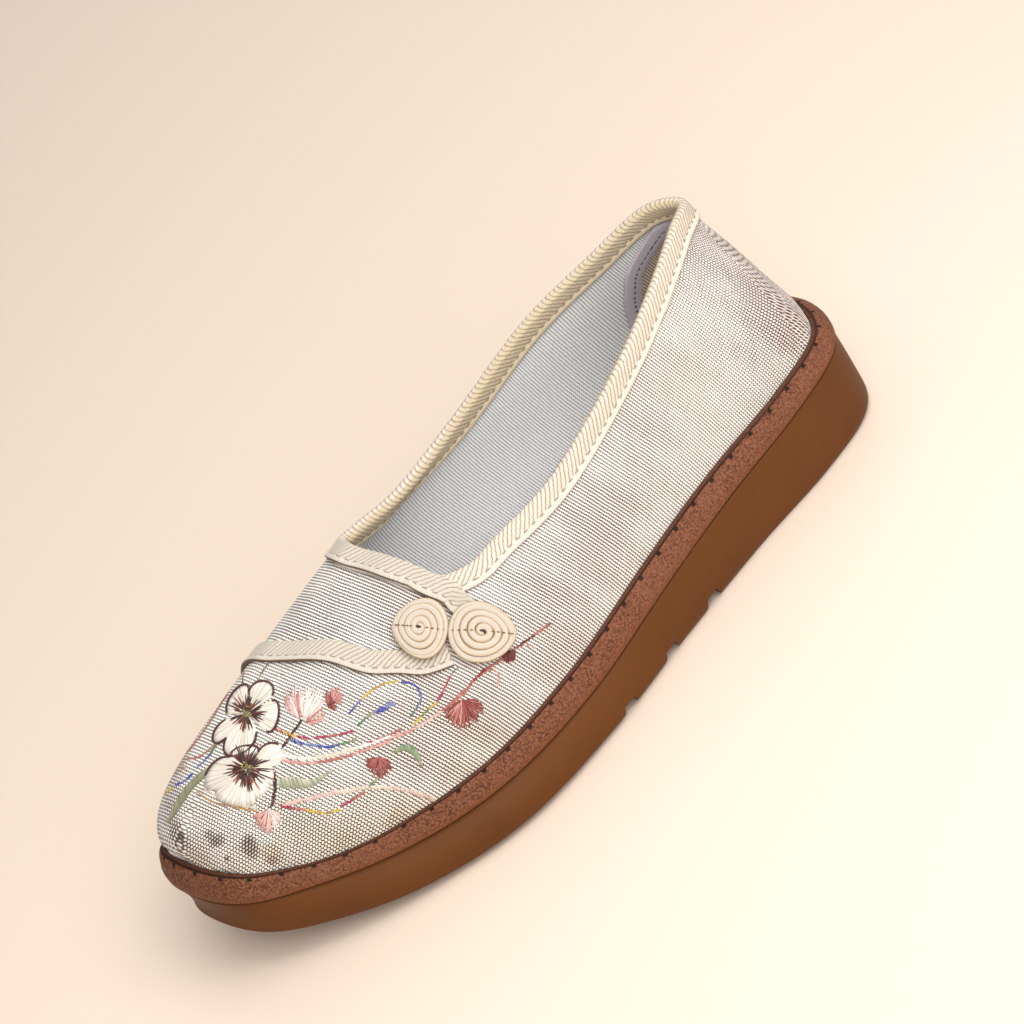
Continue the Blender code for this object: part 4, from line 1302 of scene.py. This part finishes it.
# Lines of slanted stitches: width in pixels, dyes along the line, and its places in photo pixels
STITCHED = [
    (2.6, ("bark", "maroon", "bark"), [(302, 720), (296, 728), (289, 738), (282, 748), (279, 752)]),
    (3.2, ("maroon", "bark", "maroon"), [(271, 767), (275, 777), (275, 790), (272, 806)]),
    (4.2, ("white", "cream", "white"), [
        (279, 755), (300, 758), (322, 757), (357, 748), (390, 736)]),
    (3, ("pink", "rose", "pink"), [(280, 760), (300, 763), (322, 762), (357, 753), (390, 741)]),
    (3.4, ("pink", "shell", "rose"), [(388, 739), (412, 730), (432, 718), (452, 703), (464, 690)]),
    (3, ("rose", "red", "rose"), [(462, 696), (476, 678), (488, 668), (503, 659)]),
    (2.4, ("red", "maroon", "rose"), [(503, 660), (515, 649), (530, 638), (549, 624)]),
    (1.8, ("rose", "shell"), [(514, 650), (524, 645), (535, 648)]),
    (1.8, ("rose", "pink"), [(482, 674), (490, 670), (497, 672), (499, 679), (498, 685)]),
    (2.6, ("crimson", "yellow", "crimson"), [(270, 726), (278, 730), (292, 735), (310, 739)]),
    (2.6, ("crimson", "rose", "crimson"), [(314, 738), (330, 736), (342, 734), (354, 731)]),
    (2.8, ("blue", "sky", "blue"), [(291, 740), (304, 744), (318, 746), (332, 747)]),
    (2.4, ("blue", "green", "sage"), [(332, 746), (345, 743), (356, 739)]),
    (2.4, ("green", "sage"), [(358, 726), (366, 718), (376, 711)]),
    (5.5, ("blue", "sky"), [(377, 713), (384, 708), (392, 704)]),
    (2, ("blue", "sky"), [(349, 714), (354, 708), (361, 700)]),
    (2, ("yellow", "gold", "yellow"), [(362, 699), (372, 690), (384, 684), (398, 681)]),
    (2.6, ("blue", "blue", "sky"), [(402, 682), (412, 684), (419, 690), (422, 699)]),
    (2.2, ("sky", "green"), [(421, 701), (416, 709), (411, 716)]),
    (2.2, ("crimson", "rose"), [(368, 743), (384, 737), (400, 730)]),
    (2.4, ("yellow", "green", "yellow"), [(414, 724), (424, 714), (436, 703)]),
    (2.2, ("crimson", "rose", "crimson"), [(438, 700), (445, 688), (450, 676)]),
    (2.2, ("green", "sage"), [(453, 673), (458, 667)]),
    (4.6, ("shell", "cream", "shell"), [
        (283, 805), (303, 800), (334, 793), (364, 788), (392, 788), (416, 793), (438, 803)]),
    (2.6, ("crimson", "rose", "yellow"), [(281, 806), (292, 808), (305, 810), (318, 812)]),
    (2.6, ("yellow", "gold", "yellow"), [(318, 812), (328, 813), (340, 809)]),
    (2.4, ("crimson", "rose"), [(342, 806), (354, 799), (365, 792)]),
    (2.2, ("green", "sage"), [(367, 789), (374, 782), (380, 775)]),
    (1.8, ("gold", "tan", "gold"), [(197, 791), (211, 801), (234, 807), (257, 811)]),
    (2.6, ("shell", "cream"), [(204, 789), (220, 798), (238, 804), (256, 808)]),
    (2, ("green", "blue", "sky"), [(216, 746), (208, 757), (197, 768)]),
    (2.2, ("blue", "sky", "blue"), [(192, 774), (185, 781), (176, 785)]),
    (1.8, ("yellow", "gold"), [(172, 788), (166, 793), (161, 799)]),
    (1.6, ("rose", "maroon", "rose"), [(244, 672), (243, 682), (246, 692)]),
    (1.6, ("rose", "tan", "rose"), [(229, 692), (221, 704), (210, 722), (199, 738), (186, 754)]),
    (1.6, ("rose", "tan"), [(187, 759), (199, 757), (210, 749), (217, 743)]),
    (1.6, ("pink", "rose"), [(257, 743), (263, 747), (270, 747), (277, 749)]),
    (1.6, ("olive", "sage"), [(268, 664), (261, 674), (256, 684)]),
]

# Edge of a petal: shares of its height and of its half width at the foot
PETAL_EDGE = [(0, 1), (0.50, 0.98), (0.86, 0.62), (1, 0), (0.86, -0.62), (0.50, -0.98), (0, -1)]

# Filled shapes of parallel stitches: dyes, then the two edges that each stitch runs between
FILLED = [
    (("olive", "sage"), [(216, 763), (203, 770), (189, 782), (178, 797), (168, 818)],
     [(213, 772), (202, 780), (191, 792), (181, 807), (169, 824)]),
    (("sage", "cream"), [(277, 778), (292, 776), (310, 779), (334, 769)],
     [(277, 788), (292, 789), (312, 787), (334, 770)]),
    (("sage", "green"), [(392, 751), (404, 744), (416, 748), (423, 765)],
     [(393, 754), (405, 751), (413, 756), (421, 766)]),
    (("tan", "shell"), [(178, 757), (184, 764)], [(181, 771), (186, 772)]),
]

# Tufts: root, dyes, number of threads, and the line that their tips lie on
TUFTS = [
    ((300, 720), ("pink", "white", "rose"), 30, [(284, 707), (283, 694), (290, 687), (301, 687)]),
    ((303, 721), ("white", "white", "shell"), 34, [(300, 688), (310, 685), (321, 690), (326, 701)]),
    ((305, 723), ("shell", "pink", "rose"), 20, [(322, 698), (328, 708), (325, 719), (312, 726)]),
    ((328, 708), ("rose", "red", "maroon"), 18, [(324, 694), (329, 690), (336, 700), (337, 712)]),
    ((333, 702), ("pink", "rose"), 14, [(330, 688), (337, 686), (343, 692), (343, 703)]),
    ((268, 809), ("pink", "rose", "shell"), 22, [(252, 817), (256, 826), (262, 831), (268, 834)]),
    ((269, 809), ("white", "shell", "pink"), 22, [(266, 833), (273, 833), (280, 826), (282, 814)]),
    ((379, 757), ("red", "rose", "maroon"), 46, [(365, 759), (367, 769), (374, 777), (383, 778),
                                                  (391, 771), (392, 761)]),
    ((463, 699), ("rose", "red", "maroon"), 58, [(442, 712), (449, 723), (463, 727), (477, 722),
                                                  (484, 711), (482, 701)]),
    ((462, 699), ("pink", "rose"), 16, [(444, 716), (452, 725), (462, 727)]),
    ((509, 650), ("maroon", "bark", "red"), 34, [(500, 657), (506, 663), (514, 661), (517, 653)]),
]


def dye(name):
    """Linear colour of a dye."""
    share = np.array(DYES[name]) / 255.0
    return np.where(share > 0.04045, ((share + 0.055) / 1.055) ** 2.4, share / 12.92)


def between(first, last, count):
    """Evenly spaced steps from one to the other."""
    share = np.linspace(0, 1, count)[:, None]
    return first * (1 - share) + last * share


def photo_path(places, count=None, step=STITCH_STEP, least=2):
    """Evenly spaced pixels, so many or at a step, on a smooth line through places of the photo."""
    places = np.array(places, float)
    line = smooth_path(places, 200) if len(places) > 2 else between(*places, 200)
    run = run_length(line)
    where = np.linspace(0, run[-1], count or max(int(run[-1] / step), least))
    return np.stack([np.interp(where, run, line[:, i]) for i in range(2)], -1)


class Embroidery:
    """Threads gathered by places of the photo, laid on the linen and made into one mesh."""

    def __init__(self, cloth):
        polygons = [tuple(p.vertices) for p in cloth.data.polygons]
        self.tree = BVHTree.FromPolygons([Vector(p) for p in corners_of(cloth)], polygons)
        self.random = np.random.default_rng(11)
        self.strands = []

    def one_of(self, names):
        return names[self.random.integers(len(names))]

    def strand(self, places, first, last, thick, lift):
        """Thread through photo places, from one dye to another, unless it misses the cloth."""
        shades = between(dye(first), dye(last), len(places))
        shades *= 1 + self.random.uniform(-0.10, 0.06)
        hits = [self.tree.ray_cast(Vector(CAMERA_PLACE), pixel_ray(x, y))[:2] for x, y in places]
        if all(hit is not None for hit, _ in hits):
            feet, normals = (np.array(part) for part in zip(*hits))
            self.strands.append((feet, normals, shades, THREAD_RADIUS * thick, lift))

    def line(self, width, dyes, places):
        """Slanted stitches side by side along a line."""
        path = photo_path(places)
        count = len(path)
        ahead = unit(np.gradient(path, axis=0))
        aside = np.stack([-ahead[:, 1], ahead[:, 0]], -1)
        for i in range(count):
            reach = width / 2 * self.random.uniform(0.7, 1.35)
            path[i] += aside[i] * self.random.uniform(-0.35, 0.35) * width / 2
            name = dyes[int(min(i / count, 0.999) * len(dyes))]
            if self.random.random() < 0.12:
                name = self.one_of(dyes)
            out = aside[i] * reach + ahead[i] * reach * 0.9
            self.strand([path[i] - out, path[i], path[i] + out], name, name, 1, 0.00012)

    def fill(self, dyes, first, last):
        """Stitches that run between two edges."""
        one = photo_path(first)
        two = photo_path(last, len(one))
        for i, start in enumerate(one):
            places = between(start, two[min(i + 2, len(one) - 1)], 4)
            self.strand(places, self.one_of(dyes), dyes[0], 1, 0.00010)

    def tuft(self, root, dyes, count, tips):
        """Threads from a root out to a line of tips."""
        root = np.array(root, float)
        share = np.linspace(0, 1, 5)[:, None]
        for i, end in enumerate(photo_path(tips, count)):
            start = root + (end - root) * self.random.uniform(0.0, 0.35)
            reach = root + (end - root) * self.random.uniform(0.78, 1.06)
            x, y = reach - start
            bow = np.array([-y, x]) * self.random.uniform(-0.08, 0.08)
            places = between(start, reach, 5) + bow * 4 * share * (1 - share)
            self.strand(places, self.one_of(dyes), dyes[i % len(dyes)], 1, 0.00016)

    def petal(self, middle, reach, left, tip, right, first, last):
        """White satin petal, dark strokes out to a reach, and an outline between two shares."""
        middle, left, tip, right = (np.array(p, float) for p in (middle, left, tip, right))
        foot = (left + right) / 2
        wide = (left - right) / 2
        edge = [foot + height * (tip - foot) + width * wide for height, width in PETAL_EDGE]
        ends = photo_path(edge, step=1.0)
        for end in ends:
            start = middle + (end - middle) * self.random.uniform(0.10, 0.30)
            name = self.one_of(("white", "white", "white", "cream", "ash"))
            root = "ash" if name == "ash" else "cream"
            self.strand(between(start, end, 6), root, name, 1.3, 0.00022)
        strokes = int(np.ptp(np.unwrap(np.arctan2(*(ends - middle).T))) / 0.115) + 2
        for i in range(strokes):
            along = 0.06 + 0.88 * (i + self.random.uniform(0.2, 0.8)) / strokes
            far = unit(ends[int(along * (len(ends) - 1))] - middle)
            end = middle + far * reach * self.random.uniform(0.50, 1.12)
            start = middle + (end - middle) * self.random.uniform(0.12, 0.30)
            name = self.one_of(("bark", "bark", "maroon", "brick"))
            self.strand(between(start, end, 4), "bark", name, 1.05, 0.00050)
        border = photo_path(edge, step=2.0, least=6)
        low, high = (int(share * (len(border) - 1)) for share in (first, last))
        for start, end in zip(border[low:high], border[low + 1:high + 1]):
            ahead = (end - start) * 1.25
            off = np.array([-ahead[1], ahead[0]]) * 0.42
            places = [start - off, (start + end) / 2, start + ahead + off]
            self.strand(places, "bark", "maroon", 1.7, 0.00038)

    def blossom(self, middle, reach, petals):
        """Five petals round a knot of stamens."""
        for left, tip, right, first, last in petals:
            self.petal(middle, reach, left, tip, right, first, last)
        for _ in range(46):
            turn = self.random.uniform(0, 2 * np.pi)
            out = np.array([np.cos(turn), np.sin(turn)]) * 6.0 * self.random.uniform(0, 1) ** 0.6
            place = middle + out
            step = self.random.uniform(-0.8, 0.8, 2)
            name = self.one_of(("stamen", "stamen", "olive", "bark", "yellow"))
            self.strand([place - step, place, place + step], name, name, 1.3, 0.00062)


def make_threads(name, strands, finish):
    """One mesh of round threads: feet, normals, colours, radius and lift of each."""
    _, cosine, sine = around(THREAD_SIDES)
    points = []
    colours = []
    faces = []
    first = 0
    for feet, normals, dyes, radius, lift in strands:
        count = len(feet)
        taper = 1 - np.linspace(-1, 1, count) ** 4
        ahead = np.gradient(feet, axis=0)
        ahead /= np.linalg.norm(ahead, axis=1, keepdims=True) + 1e-9
        aside = np.cross(normals, ahead)[:, None]
        normals = normals[:, None]
        thick = radius * (0.55 + 0.45 * np.sqrt(np.clip(taper, 0, 1)))
        rise = lift * (0.35 + 0.65 * taper)
        ring = (aside * cosine + normals * sine * 0.8) * thick[:, None, None]
        points.append((feet[:, None] + normals * rise[:, None, None] + ring).reshape(-1, 3))
        colours.append(np.repeat(dyes, THREAD_SIDES, axis=0))
        faces += grid_faces(count, THREAD_SIDES, False, True, first)[0].tolist()
        last = first + (count - 1) * THREAD_SIDES
        faces.append([first + i for i in range(THREAD_SIDES)][::-1])
        faces.append([last + i for i in range(THREAD_SIDES)])
        first += count * THREAD_SIDES
    item = mesh_object(name, np.concatenate(points), faces, finish)
    painted(item, "dye", np.concatenate(colours))
    return item


# Inks of the print, as the share of each colour that they leave
INKS = {
    "mauve": (0.86, 0.74, 0.78), "rose": (0.95, 0.8, 0.76), "slate": (0.72, 0.74, 0.8),
    "ochre": (0.92, 0.78, 0.56), "brown": (0.58, 0.46, 0.36), "soot": (0.34, 0.32, 0.32),
    "lilac": (0.86, 0.83, 0.9), "straw": (0.96, 0.9, 0.76), "blush": (0.9, 0.76, 0.72),
}
# Watercolour print on the linen: place in photo pixels, radius in millimetres, strength and ink
PRINTS = [
    (768, 300, 15, 0.8, "mauve"), (748, 262, 12, 0.45, "rose"), (725, 240, 9, 0.35, "brown"),
    (700, 250, 10, 0.35, "lilac"), (792, 330, 9, 0.55, "rose"), (640, 395, 15, 0.35, "rose"),
    (655, 440, 10, 0.3, "lilac"), (600, 520, 14, 0.35, "mauve"), (560, 560, 12, 0.3, "rose"),
    (620, 470, 9, 0.3, "straw"), (690, 380, 12, 0.4, "straw"), (560, 640, 14, 0.3, "rose"),
    (530, 600, 10, 0.3, "mauve"), (350, 600, 16, 0.4, "lilac"), (300, 620, 10, 0.45, "slate"),
    (400, 600, 10, 0.35, "mauve"), (470, 760, 12, 0.6, "straw"), (420, 815, 11, 0.75, "straw"),
    (365, 830, 12, 0.8, "straw"), (398, 822, 3.4, 0.6, "ochre"), (320, 850, 10, 0.8, "straw"),
    (272, 852, 2.8, 0.75, "ochre"), (285, 835, 4, 0.5, "straw"), (250, 846, 1.9, 0.72, "soot"),
    (249, 839, 1.4, 0.6, "soot"), (253, 854, 1.5, 0.6, "brown"), (218, 840, 1.4, 0.7, "soot"),
    (209, 835, 1.3, 0.7, "brown"), (213, 843, 1.2, 0.6, "soot"), (227, 859, 0.8, 1, "soot"),
    (184, 843, 1.6, 0.7, "slate"), (180, 852, 2.2, 0.6, "ochre"), (176, 832, 3, 0.6, "brown"),
    (168, 818, 3.6, 0.55, "mauve"), (172, 795, 4, 0.5, "mauve"), (200, 858, 6, 0.6, "ochre"),
    (240, 868, 6, 0.6, "straw"), (272, 860, 1.4, 0.6, "brown"), (330, 690, 16, 0.3, "lilac"),
    (430, 770, 12, 0.3, "lilac"), (300, 780, 10, 0.25, "slate"), (500, 720, 12, 0.55, "rose"),
    (425, 725, 16, 0.75, "blush"), (470, 700, 12, 0.45, "blush"), (385, 760, 12, 0.35, "blush"),
    (560, 640, 17, 0.45, "blush"), (600, 545, 14, 0.45, "blush"), (640, 480, 10, 0.25, "blush"),
    (181, 764, 3, 0.8, "ochre"), (200, 812, 6, 0.4, "straw"), (280, 800, 20, 0.3, "straw"),
]

# The same print where the photo does not see it: turn, level, radius, strength and ink
UNSEEN_PRINTS = [
    (200, 0.6, 12, 0.7, "mauve"), (215, 0.3, 10, 0.6, "rose"), (240, 0.5, 14, 0.5, "lilac"),
    (262, 0.7, 10, 0.5, "rose"), (280, 0.3, 12, 0.5, "straw"), (300, 0.45, 12, 0.6, "ochre"),
    (318, 0.2, 8, 0.7, "brown"), (335, 0.12, 6, 0.7, "soot"), (345, 0.3, 8, 0.5, "lilac"),
]

# Prints below this radius have a sharp edge
BLOT_RADIUS = 5.5


def corners_of(item):
    """Points of a piece."""
    points = np.empty(len(item.data.vertices) * 3, np.float32)
    item.data.vertices.foreach_get("co", points)
    return points.reshape(-1, 3)


def print_colours(item, tree):
    """Tint of each point of the linen, from soft blots with uneven edges."""
    points = corners_of(item).astype(float)
    wave = (np.sin(points @ (410, 250, 330)) + np.sin(points @ (-290, 520, 180) + 1.0)
            + np.sin(points @ (900, -700, 820) + 2.0) * 0.6) / 2.6
    spots = []
    for x, y, *spot in PRINTS:
        hit = tree.ray_cast(Vector(CAMERA_PLACE), pixel_ray(x, y))[0]
        if hit is not None:
            spots.append((np.array(hit), *spot))
    for turn, level, *spot in UNSEEN_PRINTS:
        spots.append((outer_face(np.array([turn]), np.array([level]))[0], *spot))
    tint = np.ones((len(points), 3))
    for place, radius, strength, name in spots:
        away = np.linalg.norm(points - place, axis=1) * 1000 / radius * (1 + 0.30 * wave)
        core = 0.55 if radius < BLOT_RADIUS else 0.15
        cover = strength * (1 - ease((away - core) / (1.35 - core)))
        tint *= 1 + cover[:, None] * (np.array(INKS[name]) - 1)
    return tint * (1 + 0.025 * wave[:, None])


# Studio: lights with their place, target, size, power and colour, then the world and the floor
LIGHTS = [
    ("key", (0.30, 0.36, 1.10), (0, 0, 0.04), 0.8, 5.0, (1.0, 0.975, 0.94)),
    ("fill", (1.0, -0.15, 0.78), (0, 0, 0.04), 1.0, 11.0, (1.0, 0.985, 0.975)),
    ("inside", (0.34, 0.14, 0.46), (-0.02, 0.03, 0.05), 0.25, 1.0, (1.0, 0.98, 0.96)),
    ("back", (-0.7, 0.5, 0.9), (0, 0, 0.04), 0.8, 2, (0.95, 0.97, 1.0)),
]
SKY = (1.0, 0.95, 0.89)
SKY_STRENGTH = 0.50
FLOOR = (0.80, 0.67, 0.56)


def area_light(name, place, target, size, power, colour):
    """Soft square light aimed at a place."""
    data = bpy.data.lights.new(name, "AREA")
    data.shape = "SQUARE"
    data.size = size
    data.energy = power
    data.color = colour
    item = bpy.data.objects.new(name, data)
    bpy.context.scene.collection.objects.link(item)
    item.location = place
    item.rotation_euler = (Vector(target) - Vector(place)).to_track_quat("-Z", "Y").to_euler()


def make_stage():
    """Pale floor, soft studio light and the camera of the photo."""
    scene = bpy.context.scene
    bpy.ops.mesh.primitive_plane_add(size=12, location=(0, 0, 0))
    floor = bpy.context.object
    floor.name = "floor"
    floor.data.materials.append(plain_material("pale_floor", FLOOR, 0.7))
    world = bpy.data.worlds.new("studio")
    world.use_nodes = True
    sky = world.node_tree.nodes["Background"]
    sky.inputs["Color"].default_value = (*SKY, 1)
    sky.inputs["Strength"].default_value = SKY_STRENGTH
    scene.world = world
    for light in LIGHTS:
        area_light(*light)
    right, up, back = camera_axes()
    lens = bpy.data.cameras.new("camera")
    lens.sensor_width = FILM_WIDTH
    lens.lens = FOCAL_PIXELS / FRAME_SIZE * FILM_WIDTH
    lens.clip_start = 0.05
    view = bpy.data.objects.new("camera", lens)
    scene.collection.objects.link(view)
    pose = Matrix((right, up, back)).transposed().to_4x4()
    pose.translation = Vector(CAMERA_PLACE)
    view.matrix_world = pose
    scene.camera = view
    scene.view_settings.view_transform = "Standard"


def painted(item, layer, colours):
    """Paint a colour for each point of a piece."""
    attribute = item.data.color_attributes.new(layer, "FLOAT_COLOR", "POINT")
    full = np.concatenate([colours, np.ones((len(colours), 1))], 1)
    attribute.data.foreach_set("color", full.astype(np.float32).ravel())


def main():
    """Dress the frame, light it and look at it from the photo's place."""
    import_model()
    make_stage()
    linen = cloth_material("striped_linen", RIB_PITCH, *LINEN, True)
    lining = cloth_material("lining_linen", LINING_RIB_PITCH, *LINING_LINEN, False)
    pad = cloth_material("heel_pad_linen", LINING_RIB_PITCH, *HEEL_PAD, False)
    tape = tape_material("cream_twill", *CREAM_TWILL)
    tan = tape_material("tan_twill", *TAN_TWILL)
    shade_edged = tape_material("shade_edged_twill", *SHADE_EDGED_TWILL)
    cord = cord_material("cream_cord", *CREAM_CORD)
    upper = make_upper(linen, lining)
    work = Embroidery(upper)
    painted(upper, "print", print_colours(upper, work.tree))
    for middle, reach, petals in BLOSSOMS:
        work.blossom(middle, reach, petals)
    for root, dyes, count, tips in TUFTS:
        work.tuft(root, dyes, count, tips)
    for width, dyes, places in STITCHED:
        work.line(width, dyes, places)
    for dyes, first, last in FILLED:
        work.fill(dyes, first, last)
    thread = thread_material("embroidery_thread")
    put_on(make_threads("embroidery", work.strands, thread), "linen")
    make_outsole(sole_material("brown_foam"))
    make_foxing(foxing_material("pebbled_brown"))
    make_insole(lining)
    make_collar_binding(tape, tan)
    make_flat_tape("piping_tape", PIPING_PATH, 250, np.zeros(250), shade_edged, "vamp_piping")
    lift = band_lift(np.linspace(0, 1, 200))
    make_flat_tape("front_band", FRONT_BAND, 200, lift, shade_edged, "closure_tab")
    knots = []
    for name, (turn, level, tip, length) in FROG_COILS.items():
        make_frog_coil(name.replace("coil", "cord"), turn, level, tip, length, cord, knots)
    put_on(make_threads("frog_stitches", knots, thread), "cord")
    make_heel_lining(leather_material("lilac_leather"), pad)


main()
